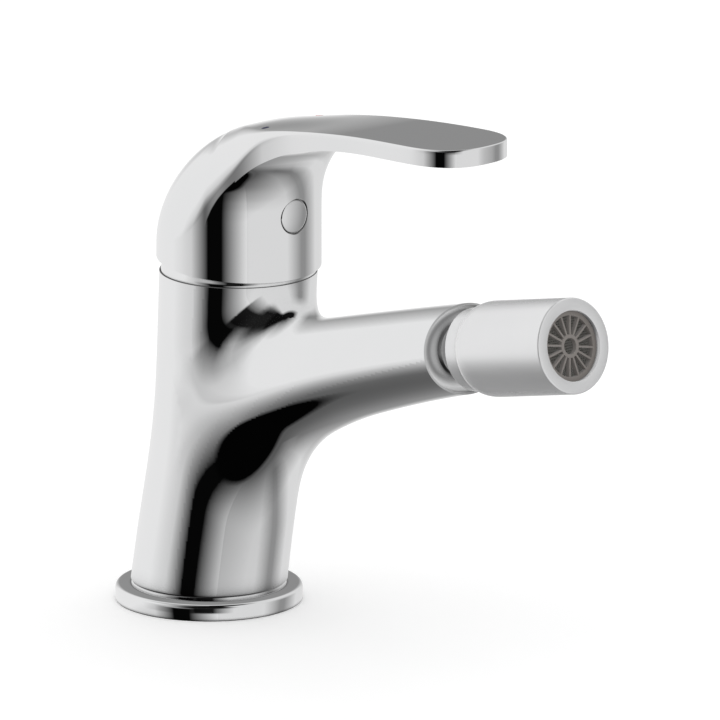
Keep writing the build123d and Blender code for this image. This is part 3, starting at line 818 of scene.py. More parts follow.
@dataclass
class Studio:
    """A white studio whose cards are painted on the world, with a plain pale floor.

    Attributes:
        front: The direction of the camera, in degrees from +X.
        base: The level that polished metal meets where there is no card.
        plain: The level that lights everything else.
        cards: The cards, each over those before it.
        floor_reach: Half the floor's side, in millimetres.
        floor_shade: The floor's colour.
        floor_roughness: The floor's roughness.
        floor_glow: The light that it adds for the camera, so that it shows white.
    """

    front: float = -43.5
    base: float = 0.86
    plain: float = 0.95
    cards: tuple[Card | Disc, ...] = (
        Card(0.75, (-180.0, -12.0), (-90.0, 90.0), (1.0, 1.0, 1.0, 1.0)),
        Card(0.64, (-92.0, -12.0), (-90.0, -32.0), (24.0, 1.0, 1.0, 12.0)),
        Card(0.24, (84.0, 174.0), (-90.0, -44.0), (20.0, 20.0, 1.0, 26.0)),
        Card(0.29, (-106.0, -98.0), (-68.0, 10.0), (28.0, 26.0, 14.0, 30.0)),
        Card(0.30, (178.0, 182.0), (-62.0, -36.0), (28.0, 25.0, 14.0, 15.0)),
        Card(0.28, (178.0, 182.0), (6.0, 24.0), (28.0, 25.0, 12.0, 26.0)),
        Card(0.56, (28.0, 62.0), (-13.0, 12.0), (10.0, 26.0, 2.0, 22.0)),
        Card(0.006, (-24.0, 34.0), (48.0, 90.0), (12.0, 44.0, 45.0, 1.0)),
        Card(0.006, (-180.0, -24.0), (70.0, 90.0), (1.0, 12.0, 12.0, 1.0)),
        Card(0.01, (34.0, 180.0), (86.0, 90.0), (44.0, 1.0, 40.0, 1.0)),
        Card(0.004, (-16.0, 20.0), (22.0, 90.0), (24.0, 34.0, 16.0, 1.0)),
        Card(0.012, (-5.0, 17.0), (-12.0, 40.0), (26.0, 24.0, 2.0, 10.0)),
        Disc(0.10, 50.0, -72.0, 26.0, 40.0),
        Card(0.002, (24.0, 44.0), (-60.0, -4.0), (38.0, 26.0, 4.0, 14.0)),
        Disc(0.001, 50.0, -66.0, 25.0, 4.0),
    )
    floor_reach: float = 4000.0
    floor_shade: float = 0.93
    floor_roughness: float = 0.9
    floor_glow: float = 0.21

    def build(self) -> None:
        """Lights the scene and lays the floor."""
        scene = bpy.context.scene
        scene.view_settings.view_transform = "Standard"
        world = bpy.data.worlds.new("studio")
        scene.world = world
        world.use_nodes = True
        tree = world.node_tree
        tree.nodes.clear()
        painter = WorldTree(tree, self.front)
        level: object = self.base
        for card in self.cards:
            level = painter.over(level, card)
        path = painter.add("ShaderNodeLightPath").outputs
        clear = painter.math("MAXIMUM", path["Is Glossy Ray"], path["Is Transmission Ray"])
        seen = painter.pick(clear, self.plain, level)
        shown = painter.pick(path["Is Camera Ray"], seen, 1.0)
        light = painter.add("ShaderNodeBackground", {"Color": (1, 1, 1, 1), "Strength": shown})
        painter.add("ShaderNodeOutputWorld", {"Surface": light.outputs[0]})
        self._floor()
        log.info("studio: %d cards", len(self.cards))

    def _floor(self) -> None:
        """Lays a floor that shows white and keeps the object's shadow."""
        reach = self.floor_reach * MM
        mesh = bpy.data.meshes.new("floor")
        mesh.from_pydata(
            [(-reach, -reach, 0), (reach, -reach, 0), (reach, reach, 0), (-reach, reach, 0)],
            [], [(0, 1, 2, 3)],
        )
        floor = put("floor", mesh)
        material = bpy.data.materials.new("floor_paint")
        material.use_nodes = True
        maker = TreeMaker(material.node_tree)
        shader, out = (maker.tree.nodes[n] for n in ("Principled BSDF", "Material Output"))
        maker.join((*[self.floor_shade] * 3, 1), shader, "Base Color")
        maker.join(self.floor_roughness, shader, "Roughness")
        maker.join(0.0, shader, "Specular IOR Level")
        path = maker.add("ShaderNodeLightPath")
        glow = maker.add("ShaderNodeEmission", {"Strength": self.floor_glow})
        both = maker.add("ShaderNodeAddShader", {0: shader.outputs[0], 1: glow.outputs[0]})
        inputs = {0: path.outputs["Is Camera Ray"], 1: shader.outputs[0], 2: both.outputs[0]}
        pick = maker.add("ShaderNodeMixShader", inputs)
        maker.join(pick.outputs[0], out, "Surface")
        mesh.materials.append(material)
        floor.visible_glossy = False


# The casting


@dataclass
class Casting:
    """The leaning column and the spout that rises from it, as one blended skin.

    Attributes:
        foot_z: The height of the column's foot.
        top_z: The height of the seam under the cover ring.
        foot_chamfer: How far the foot's edge is broken.
        spine: Height and forward place of the column's centre.
        radius: Height and radius of the column.
        spout_top: Forward place and height of the spout's top line.
        spout_bottom: Forward place and height of its bottom line.
        spout_half_width: Forward place and half width of the spout.
        blend_top: Reach of the blend where the spout's top meets the column.
        blend_bottom: Reach of the blend underneath.
        blend_power: How softly the blend starts and ends; 2 is a plain round.
        blend_fade: How fast it goes where the two run side by side, underneath and on top.
        blend_least: Reach of the blend where it fades out.
        root_x: The forward place of the spout's root, inside the column.
        mouth: The centre of the spout's mouth.
        rise: How far the mouth looks up, in degrees.
        lip: The width of the mouth's flat lip.
        cup_depth: How deep the mouth's cup is.
        cup_floor: The size of the cup's floor as a share of its mouth's.
        hollow_radius: The radius of the hollow in the foot.
        hollow_top: The height of its roof.
        cell: The size of the skin's cells.
        back_x: The forward place where the cells start.
        side_y: How far they reach to either side.
        top_end: The height where they end.
        margin: How far they reach past the foot and the mouth.
        draws: How many times the skin is drawn onto the form.
        draw_step: How far to either side the form's slope is read.
        draw_reach: How far one draw moves a point at most.
        near: How far from a cut the skin is looked through.
        head_x: What lies behind it belongs to the column's top.
        seam_inner: The size of the seam's opening as a share of the column's.
        seam_depth: How deep that opening is.
        cup_steps: Rows of faces in the mouth's cup.
        foot_steps: Shares of a quarter turn in the foot's broken edge.
    """

    foot_z: float = 6.0
    top_z: float = 101.7
    foot_chamfer: float = 0.45
    spine: Table = (
        (6.0, 0.05), (24.5, 3.3), (43.3, 7.15), (61.9, 10.1), (80.0, 11.5), (101.7, 12.8),
    )
    radius: Table = ((6.0, 23.0), (30.0, 22.8), (60.0, 22.8), (101.7, 23.15))
    spout_top: Table = (
        (13.0, 83.5), (36.0, 90.0), (58.0, 96.0), (81.0, 102.1), (106.6, 108.7), (120.0, 112.0),
    )
    spout_bottom: Table = (
        (13.0, 37.0), (30.0, 47.0), (45.0, 56.0), (63.9, 65.9), (77.9, 71.5), (96.4, 78.0),
        (112.4, 83.0), (124.0, 86.3),
    )
    spout_half_width: Table = (
        (13.0, 22.0), (30.0, 20.0), (45.0, 18.6), (58.0, 17.9), (70.0, 17.6), (90.0, 17.3),
        (109.4, 17.1), (124.0, 17.0),
    )
    blend_top: float = 17.0
    blend_bottom: float = 21.0
    blend_power: float = 3.0
    blend_fade: Point = (0.8, 0.4)
    blend_least: float = 0.5
    root_x: float = 13.0
    mouth: Triple = (109.4, 0.0, 95.5)
    rise: float = 12.0
    lip: float = 0.7
    cup_depth: float = 4.5
    cup_floor: float = 0.60
    hollow_radius: float = 19.2
    hollow_top: float = 44.0
    cell: float = 0.9
    back_x: float = -26.0
    side_y: float = 27.0
    top_end: float = 116.0
    margin: Point = (3.0, 9.0)
    draws: int = 9
    draw_step: float = 0.02
    draw_reach: float = 2.0
    near: Point = (5.0, 12.0)
    head_x: float = 46.0
    seam_inner: float = 0.90
    seam_depth: float = 2.5
    cup_steps: int = 9
    foot_steps: tuple[float, ...] = (0.3, 0.7, 1.0)

    @property
    def mouth_axis(self) -> Vector:
        """The way that the mouth looks."""
        rise = math.radians(self.rise)
        return Vector((math.cos(rise), 0, math.sin(rise)))

    def distance(self, p: np.ndarray) -> np.ndarray:
        """How far outside the skin each point is.

        Args:
            p: Points in millimetres, one to a row.

        Returns:
            The distance, negative inside.
        """
        x, y, z = p.T
        away = np.hypot(x - spline(self.spine, z), y) + TINY
        column = away - spline(self.radius, z)
        top, bottom = spline(self.spout_top, x), spline(self.spout_bottom, x)
        middle, half = (top + bottom) / 2, (top - bottom) / 2
        width = spline(self.spout_half_width, x)
        share = np.hypot(y / width, (z - middle) / half) + TINY
        slope = np.hypot(y / width**2, (z - middle) / half**2) / share + TINY
        spout = (share - 1) / slope
        spout = np.maximum(spout, self.root_x - x)
        up = np.clip((z - bottom) / (2 * half), 0, 1)
        up = up * up * (3 - 2 * up)
        blend = self.blend_bottom + (self.blend_top - self.blend_bottom) * up
        alike = np.abs(y / away * y / width**2) / (slope * share)
        fade = self.blend_fade[0] + (self.blend_fade[1] - self.blend_fade[0]) * up
        blend = self.blend_least + blend * (1 - np.clip(alike, 0, 1)) ** fade
        power = self.blend_power
        inner = (
            np.maximum(blend - column, 0) ** power + np.maximum(blend - spout, 0) ** power
        ) ** (1 / power)
        return np.maximum(blend, np.minimum(column, spout)) - inner

    def skin(self) -> tuple[np.ndarray, np.ndarray]:
        """Wraps a net of even cells round the form and draws it onto the surface.

        Returns:
            The vertices, in millimetres, and the four-sided faces.
        """
        low = np.array((self.back_x, -self.side_y, self.foot_z - self.margin[0]))
        high = np.array((self.mouth[0] + self.margin[1], self.side_y, self.top_end))
        shape = np.ceil((high - low) / self.cell).astype(int) + 1
        axes = [low[i] + self.cell * np.arange(shape[i]) for i in range(3)]
        grid = np.stack(np.meshgrid(*axes, indexing="ij"), -1).reshape(-1, 3)
        inside = (self.distance(grid) < 0).reshape(shape)
        corners = [
            inside[i : shape[0] - 1 + i, j : shape[1] - 1 + j, k : shape[2] - 1 + k]
            for i in (0, 1) for j in (0, 1) for k in (0, 1)
        ]
        mixed = np.any(corners, 0) & ~np.all(corners, 0)
        number = np.full(mixed.shape, -1)
        number[mixed] = np.arange(mixed.sum())
        verts = low + self.cell * (np.argwhere(mixed) + 0.5)
        for _ in range(self.draws):
            verts = self._drawn(verts)
        faces = []
        for axis in range(3):
            one, two = [a for a in range(3) if a != axis]
            start = [slice(1, s - 1) for s in shape]
            start[axis] = slice(0, shape[axis] - 1)
            after = list(start)
            after[axis] = slice(1, shape[axis])
            here, there = inside[tuple(start)], inside[tuple(after)]
            cells = np.argwhere(here != there) + [0 if a == axis else 1 for a in range(3)]
            flip = here[here != there] != (axis == 1)
            ring = []
            for back in ((1, 1), (0, 1), (0, 0), (1, 0)):
                moved = cells.copy()
                moved[:, one] -= back[0]
                moved[:, two] -= back[1]
                ring.append(number[tuple(moved.T)])
            quads = np.stack(ring, 1)
            quads[~flip] = quads[~flip][:, ::-1]
            faces.append(quads)
        return verts, np.concatenate(faces)

    def _drawn(self, p: np.ndarray) -> np.ndarray:
        """Takes points one step towards the surface.

        Args:
            p: The points, one to a row.

        Returns:
            The points after the step.
        """
        step, reach = self.draw_step, self.draw_reach
        slope = np.stack(
            [
                (self.distance(p + step * axis) - self.distance(p - step * axis)) / (2 * step)
                for axis in np.eye(3)
            ],
            1,
        )
        size = (slope**2).sum(1, keepdims=True) + TINY
        return p - np.clip(self.distance(p)[:, None] * slope / size, -reach, reach)

    def build(self) -> bpy.types.Object:
        """Makes the casting: the skin, cut at its foot, seam and mouth, with its edges.

        Returns:
            The piece.
        """
        verts, faces = self.skin()
        mesh = bpy.data.meshes.new("casting_skin")
        mesh.from_pydata(verts.tolist(), [], faces.tolist())
        form = bmesh.new()
        form.from_mesh(mesh)
        bpy.data.meshes.remove(mesh)
        bmesh.ops.recalc_face_normals(form, faces=form.faces)
        edge_z = self.foot_z + self.foot_chamfer
        level, front = self.near
        self._slice(form, (0, 0, edge_z), (0, 0, -1), lambda v: v.z < edge_z + level)
        self._slice(
            form, (0, 0, self.top_z), (0, 0, 1),
            lambda v: v.z > self.top_z - level and v.x < self.head_x,
        )
        self._slice(form, self.mouth, self.mouth_axis, lambda v: v.x > self.mouth[0] - front)
        self._foot(form, edge_z)
        self._seam(form)
        self._mouth(form)
        bmesh.ops.recalc_face_normals(form, faces=form.faces)
        bmesh.ops.scale(form, vec=(MM, MM, MM), verts=form.verts)
        mesh = bpy.data.meshes.new("mixer_casting")
        form.to_mesh(mesh)
        form.free()
        piece = put("mixer_casting", mesh)
        dress(piece, CHROME.material())
        return settle(piece, "body", "chrome", "body_casting")

    @staticmethod
    def _slice(
        form: bmesh.types.BMesh,
        place: Sequence[float],
        normal: Sequence[float],
        near: Callable[[Vector], bool],
    ) -> None:
        """Cuts the skin off past a plane.

        Args:
            form: The skin.
            place: A point of the plane.
            normal: The side of the plane that goes.
            near: Whether a vertex is close enough to be cut.
        """
        faces = [f for f in form.faces if any(near(v.co) for v in f.verts)]
        edges = dict.fromkeys(e for f in faces for e in f.edges)
        points = dict.fromkeys(v for f in faces for v in f.verts)
        bmesh.ops.bisect_plane(
            form, geom=[*points, *edges, *faces], dist=CUT_MERGE, plane_co=place,
            plane_no=normal, clear_outer=True,
        )

    @staticmethod
    def _rim(form: bmesh.types.BMesh, near: Callable[[Vector], bool]) -> list[bmesh.types.BMEdge]:
        """The open edges of one cut."""
        return [e for e in form.edges if e.is_boundary and all(near(v.co) for v in e.verts)]

    @staticmethod
    def _step(
        form: bmesh.types.BMesh,
        rim: list[bmesh.types.BMEdge],
        move: Callable[[Vector], Vector],
    ) -> list[bmesh.types.BMEdge]:
        """Draws a rim on into a new one.

        Args:
            form: The casting.
            rim: The open edges.
            move: Where each point of the rim goes.

        Returns:
            The new rim.
        """
        made = bmesh.ops.extrude_edge_only(form, edges=rim)["geom"]
        for vert in (v for v in made if isinstance(v, bmesh.types.BMVert)):
            vert.co = move(vert.co)
        return [e for e in made if isinstance(e, bmesh.types.BMEdge) and e.is_boundary]

    def _foot(self, form: bmesh.types.BMesh, edge_z: float) -> None:
        """Breaks the foot's edge and hollows the column above it.

        Args:
            form: The casting.
            edge_z: The height of the cut.
        """
        centre = spline_at(self.spine, edge_z)

        def ring(radius: float, z: float, x: float) -> Callable[[Vector], Vector]:
            """Makes a move to a level circle.

            Args:
                radius: The circle's radius.
                z: Its height.
                x: The forward place of its centre.

            Returns:
                The move.
            """
            def move(v: Vector) -> Vector:
                """The point of the circle on the same side."""
                away = Vector((v.x - centre, v.y, 0)).normalized() * radius
                return Vector((x + away.x, away.y, z))
            return move

        foot_radius = spline_at(self.radius, edge_z)
        rim = self._rim(form, lambda v: abs(v.z - edge_z) < ON_PLANE)
        for share in self.foot_steps:
            angle = share * math.pi / 2
            radius = foot_radius - self.foot_chamfer * (1 - math.cos(angle))
            rim = self._step(
                form, rim, ring(radius, edge_z - self.foot_chamfer * math.sin(angle), centre)
            )
        rim = self._step(form, rim, ring(self.hollow_radius, self.foot_z, centre))
        roof_x = spline_at(self.spine, self.hollow_top) / 2
        rim = self._step(form, rim, ring(self.hollow_radius, self.hollow_top, roof_x))
        bmesh.ops.holes_fill(form, edges=rim, sides=0)

    def _seam(self, form: bmesh.types.BMesh) -> None:
        """Closes the column's top under the cover ring.

        Args:
            form: The casting.
        """
        centre = Vector((spline_at(self.spine, self.top_z), 0, self.top_z))
        rim = self._rim(
            form, lambda v: abs(v.z - self.top_z) < ON_PLANE and v.x < self.head_x
        )
        rim = self._step(form, rim, lambda v: centre + (v - centre) * self.seam_inner)
        rim = self._step(form, rim, lambda v: v - Vector((0, 0, self.seam_depth)))
        bmesh.ops.holes_fill(form, edges=rim, sides=0)

    def _mouth(self, form: bmesh.types.BMesh) -> None:
        """Makes the mouth's lip and the cup inside it.

        Args:
            form: The casting.
        """
        centre, axis = Vector(self.mouth), self.mouth_axis
        rim = self._rim(form, lambda v: abs((v - centre).dot(axis)) < ON_PLANE)
        inner = 1 - self.lip / spline_at(self.spout_half_width, self.mouth[0])
        rim = self._step(form, rim, lambda v: centre + (v - centre) * inner)
        size, depth = 1.0, 0.0
        for index in range(1, self.cup_steps + 1):
            angle = index / self.cup_steps * math.pi / 2
            new_size = self.cup_floor + (1 - self.cup_floor) * math.cos(angle)
            new_depth = self.cup_depth * math.sin(angle)
            scale, sink = new_size / size, new_depth - depth

            def move(v: Vector, scale: float = scale, sink: float = sink) -> Vector:
                """Draws a point in and down."""
                flat = v - centre
                along = flat.dot(axis)
                return centre + (flat - axis * along) * scale + axis * (along - sink)

            rim = self._step(form, rim, move)
            size, depth = new_size, new_depth
        bmesh.ops.holes_fill(form, edges=rim, sides=0)


# Turned pieces of the base and head


@dataclass
class BaseRing:
    """The base ring under the column, with the groove for its gasket.

    Attributes:
        radius: The ring's outer radius.
        height: The height of its flat top.
        edge: The radius of its top edge.
        small_edges: The radii of the bore's, the foot's and the step's edges.
        step_radius: The radius of the step that the casting stands on.
        step_top: The height of the step's top.
        bore: The radius of its bore.
        lip_radius: The radius of the lip that locates the casting.
        lip_top: The height of that lip.
        groove: The inner and outer radius of the gasket's groove.
        groove_depth: The depth of the groove.
        segments: Faces round the ring.
    """

    radius: float = 27.5
    height: float = 4.8
    edge: float = 1.2
    small_edges: Triple = (0.2, 0.3, 0.15)
    step_radius: float = 22.7
    step_top: float = 5.95
    bore: float = 16.5
    lip_radius: float = 18.5
    lip_top: float = 8.5
    groove: Point = (19.0, 25.0)
    groove_depth: float = 1.5
    segments: int = 192

    def build(self) -> bpy.types.Object:
        """Turns the ring.

        Returns:
            The piece.
        """
        inner, outer = self.groove
        fine, foot, step = self.small_edges
        corners = [
            (self.bore, 0.0, fine), (inner, 0.0, 0.0), (inner, self.groove_depth, 0.0),
            (outer, self.groove_depth, 0.0), (outer, 0.0, 0.0), (self.radius, 0.0, foot),
            (self.radius, self.height, self.edge), (self.step_radius, self.height, step),
            (self.step_radius, self.step_top, fine), (self.lip_radius, self.step_top, 0.0),
            (self.lip_radius, self.lip_top, fine), (self.bore, self.lip_top, fine),
        ]
        verts, faces = turned(rounded_profile(corners), self.segments)
        piece = add_piece("base_ring", verts, faces, RING_CHROME.material())
        return settle(piece, "body", "chrome", "base_flange")


@dataclass
class CoverRing:
    """The chromed ring under the lever: a zone of a ball about the lever's pivot.

    Attributes:
        axis_x: The forward place of the head's axis.
        pivot_z: The height of the pivot.
        ball: The radius of the ball.
        inner_ball: The radius inside it.
        foot_z: The height of the ring's seam.
        top_z: The height of its top.
        spigot: The inner and outer radius of its spigot.
        spigot_z: The height of the spigot's foot.
        foot_edge: How far the ring's foot is set in.
        rows: Rows of faces up the ring.
        segments: Faces round the ring.
    """

    axis_x: float = 13.0
    pivot_z: float = 98.0
    ball: float = 23.25
    inner_ball: float = 20.3
    foot_z: float = 101.85
    top_z: float = 109.4
    spigot: Point = (18.4, 20.4)
    spigot_z: float = 99.0
    foot_edge: float = 0.2
    rows: int = 13
    segments: int = 192

    def build(self) -> bpy.types.Object:
        """Turns the ring.

        Returns:
            The piece.
        """
        def reach(ball: float, z: float) -> float:
            """A ball's radius at a height."""
            return math.sqrt(ball**2 - (z - self.pivot_z) ** 2)

        heights = np.linspace(self.foot_z, self.top_z, self.rows + 1)
        profile = [
            (self.spigot[0], self.spigot_z), (self.spigot[1], self.spigot_z),
            (self.spigot[1], self.foot_z),
            (reach(self.ball, self.foot_z) - self.foot_edge, self.foot_z),
            *[(reach(self.ball, z), z) for z in heights[1:]],
            *[(reach(self.inner_ball, z), z) for z in heights[::-1]],
            (self.spigot[0], self.foot_z),
        ]
        verts, faces = turned(profile, self.segments)
        place = Matrix.Translation((self.axis_x, 0, 0))
        piece = add_piece("head_cover_ring", verts, faces, RING_CHROME.material(), place)
        return settle(piece, "body", "chrome", "cover_ring")


# The lever


@dataclass
class Lever:
    """The lever handle: a domed cap whose hood runs on into a flat blade.

    Attributes:
        axis_x: The forward place of the cap's axis.
        radius: The cap's radius.
        foot_z: The height of the cap's foot on its axis.
        foot_slope: How fast the foot drops towards the front.
        rim_wall: The thickness of the cap's rim.
        edge_x: Where the hood's lower edge leaves the cap.
        outline: Forward place and half width of the hood and blade.
        tip_x: The forward place of the blade's tip.
        tip_power: How square the tip is; 2 is an ellipse.
        flare: Distance from the axis and height of the underside.
        ridge: Forward place and height of the ridge.
        crown: Forward place, and how far the ridge stands above the edge.
        round_width: Forward place and width of the round between top and side.
        round_height: Forward place and height of that round.
        ease: How far the bends of those tables are spread.
        plug_z: The height of the screw plug.
        plug_bore: The radius, floor and depth of the plug's bore.
        back_drop: How much lower the round of the cap's back ends than its front.
        wall_share: The least and the added share of the wall that the straight side takes,
            and the turn over which it is added.
        hollow: Radius and height of the roof's steps inside the cap.
        hollow_z: The height where the rim's wall ends inside the cap.
        cap_stations: Stations round the cap's back and its front.
        side_stations: Stations along the hood and along the blade.
        hood_end: Where the hood becomes the blade.
        tip_stations: Stations round the tip.
        tip_ridge: The share of the tip that the ridge runs into.
        top_rows: Rows of faces on the top.
        round_rows: Rows of faces on the round.
        side_rows: Rows of faces on the side.
        wall_rows: Rows of faces on the cap's wall.
        flare_rows: Rows of faces under the hood and blade.
        flare_power: How closely those rows crowd at the cap.
        line_points: Points of the underside's dense line.
        slope_steps: How far to either side the outline's and the ridge's slopes are read.
        bore_segments: Faces round the plug's bore.
    """

    axis_x: float = 13.0
    radius: float = 24.15
    foot_z: float = 105.0
    foot_slope: float = 0.075
    rim_wall: float = 1.1
    edge_x: float = 22.3
    outline: Table = (
        (22.3, 22.29), (27.8, 20.3), (34.4, 17.9), (42.0, 16.0), (50.0, 15.1), (60.0, 14.85),
        (80.0, 15.05), (99.0, 15.5),
    )
    tip_x: float = 118.0
    tip_power: float = 2.6
    flare: Table = (
        (24.15, 120.0), (24.16, 122.0), (24.25, 124.8), (24.54, 127.8), (25.17, 130.9),
        (26.4, 134.3), (27.9, 137.2),
        (30.2, 140.0), (32.9, 142.1), (36.8, 144.3), (42.0, 146.3), (47.1, 147.8),
        (52.6, 149.0), (57.9, 149.85), (68.6, 150.95), (80.5, 151.6), (92.5, 152.15),
        (101.0, 152.45), (106.0, 152.55),
    )
    ridge: Table = (
        (13.0, 144.2), (18.0, 146.3), (23.0, 148.0), (29.0, 149.6), (35.0, 150.7),
        (43.0, 151.8), (52.0, 152.9), (61.3, 154.05), (76.0, 155.6), (94.0, 156.8),
        (117.8, 157.8),
    )
    crown: Table = (
        (22.3, 0.0), (24.5, 0.5), (27.0, 1.5), (29.8, 2.5), (32.0, 2.6), (35.0, 2.0),
        (38.7, 1.2), (45.0, 0.5), (51.0, 0.2), (60.0, 0.06), (118.0, 0.05),
    )
    round_width: Table = (
        (13.0, 24.15), (17.0, 24.0), (22.3, 22.5), (25.0, 19.0), (29.8, 12.0), (35.0, 6.0),
        (39.0, 3.2), (45.0, 1.6), (51.0, 1.0), (60.0, 0.6), (118.0, 0.5),
    )
    round_height: Table = (
        (13.0, 28.8), (17.0, 27.6), (22.3, 22.5), (25.0, 18.5), (29.8, 12.0), (35.0, 6.0),
        (39.0, 3.4), (45.0, 1.8), (51.0, 1.0), (60.0, 0.6), (118.0, 0.5),
    )
    ease: float = 4.0
    plug_z: float = 122.0
    plug_bore: Triple = (5.4, 33.6, 12.0)
    back_drop: float = 2.8
    wall_share: Triple = (0.5, 0.43, 1.38)
    hollow: Table = ((17.0, 124.0), (0.001, 124.0))
    hollow_z: float = 110.0
    cap_stations: tuple[int, int] = (90, 26)
    side_stations: tuple[int, int] = (110, 39)
    hood_end: float = 60.0
    tip_stations: int = 31
    tip_ridge: float = 0.55
    top_rows: int = 44
    round_rows: int = 26
    side_rows: int = 5
    wall_rows: int = 12
    flare_rows: int = 34
    flare_power: float = 1.35
    line_points: int = 1200
    slope_steps: Point = (0.01, 0.05)
    bore_segments: int = 96

    def stations(self) -> dict[str, np.ndarray]:
        """Walks half of the outline, from the back of the cap to the blade's tip.

        Returns:
            Arrays by name: the place x and y, the outward normal nx and ny, and the forward
            place of the ridge that each one is joined to.
        """
        edge_angle = math.acos((self.edge_x - self.axis_x) / self.radius)
        back, front = self.cap_stations
        round_angles = np.concatenate(
            [
                np.linspace(math.pi, math.pi / 2, back + 1),
                np.linspace(math.pi / 2, edge_angle, front + 1)[1:],
            ]
        )
        x1 = self.axis_x + self.radius * np.cos(round_angles)
        y1 = self.radius * np.sin(round_angles)
        last_x, last_y = self.outline[-1]
        hood, blade = self.side_stations
        x2 = np.concatenate(
            [
                np.linspace(self.edge_x, self.hood_end, hood + 1)[1:],
                np.linspace(self.hood_end, last_x, blade + 1)[1:],
            ]
        )
        slope = -(self.edge_x - self.axis_x) / y1[-1]
        y2 = spline(self.outline, x2, (slope, 0.0))
        rise2 = spline_slope(self.outline, x2, self.slope_steps[0], (slope, 0.0))
        rise2[-1] = 0.0
        size2 = np.hypot(rise2, 1)
        turn = np.linspace(0, math.pi / 2, self.tip_stations + 1)[1:]
        power = 2 / self.tip_power
        u, v = np.sin(turn) ** power, np.cos(turn) ** power
        v[-1] = 0.0
        x3, y3 = last_x + (self.tip_x - last_x) * u, last_y * v
        nx3 = u ** (self.tip_power - 1) / (self.tip_x - last_x)
        ny3 = v ** (self.tip_power - 1) / last_y
        size3 = np.hypot(nx3, ny3)
        ridge2 = x2 + y2 * rise2
        ridge_end = last_x + (self.tip_x - last_x) * self.tip_ridge
        ridge3 = np.linspace(last_x, ridge_end, self.tip_stations + 1)[1:]
        return {
            "x": np.concatenate([x1, x2, x3]),
            "y": np.concatenate([y1, y2, y3]),
            "nx": np.concatenate([np.cos(round_angles), -rise2 / size2, nx3 / size3]),
            "ny": np.concatenate([np.sin(round_angles), 1 / size2, ny3 / size3]),
            "ridge": np.concatenate([np.full(len(x1), self.axis_x), ridge2, ridge3]),
            "round": np.arange(len(x1) + len(x2) + len(x3)) < len(x1),
        }

    def heights(self, walk: dict[str, np.ndarray]) -> dict[str, np.ndarray]:
        """The heights and rounds at each station.

        Args:
            walk: The stations.

        Returns:
            Arrays by name: the foot, the underside's edge, the crown, the round's width and
            height, and the ridge's height and slope.
        """
        x, y, ridge_x = walk["x"], walk["y"], walk["ridge"]
        away = np.hypot(x - self.axis_x, y)
        crown = eased_curve(self.crown, x, self.ease)
        width = eased_curve(self.round_width, x, self.ease)
        height = eased_curve(self.round_height, x, self.ease)
        back = x < self.axis_x
        cosine = (x - self.axis_x) / self.radius
        width[back] = self.radius
        height[back] = self.round_height[0][1] + self.back_drop * cosine[back]
        ridge_z = spline(self.ridge, ridge_x)
        slope = spline_slope(self.ridge, ridge_x, self.slope_steps[1])
        foot = self.foot_z - self.foot_slope * (x - self.axis_x)
        edge = self.underside(away)[1]
        side_top = ridge_z + slope * (x - ridge_x) - crown - height
        least, added, span = self.wall_share
        wall = least + added * np.clip((cosine + 1) / span, 0, 1)
        middle = foot + wall * (side_top - foot)
        middle = np.where(walk["round"], middle, edge)
        last = int(walk["round"].sum()) - 1
        front = self.cap_stations[1]
        share = np.clip((np.arange(len(x)) - (last - front)) / front, 0, 1)
        target = self.flare[0][1]
        middle = np.where(walk["round"], middle + (target - middle[last]) * share, middle)
        return {
            "foot": foot, "edge": middle, "crown": crown, "width": width, "height": height,
            "ridge": ridge_z, "slope": slope, "away": away,
        }

    def underside(self, away: np.ndarray) -> tuple[np.ndarray, np.ndarray]:
        """Reads the underside's curve at a distance from the cap's axis.

        Args:
            away: Distances from the axis.

        Returns:
            The length along the curve and the height, at each distance.
        """
        length, line = self.flare_line()
        order = np.maximum.accumulate(line[:, 0])
        at = np.interp(away, order, length)
        return at, np.interp(at, length, line[:, 1])

    def flare_line(self) -> tuple[np.ndarray, np.ndarray]:
        """The underside's curve as a dense line.

        Returns:
            The length along it, and the distance from the axis and height of each point.
        """
        knots = np.array(self.flare)
        chord = np.concatenate([[0], np.cumsum(np.hypot(*np.diff(knots, axis=0).T))])
        at = np.linspace(0, chord[-1], self.line_points)
        away = smooth_curve(list(zip(chord, knots[:, 0])), at)
        rise = spline(list(zip(chord, knots[:, 1])), at)
        line = np.stack([away, rise], 1)
        length = np.concatenate([[0], np.cumsum(np.hypot(*np.diff(line, axis=0).T))])
        return length, line

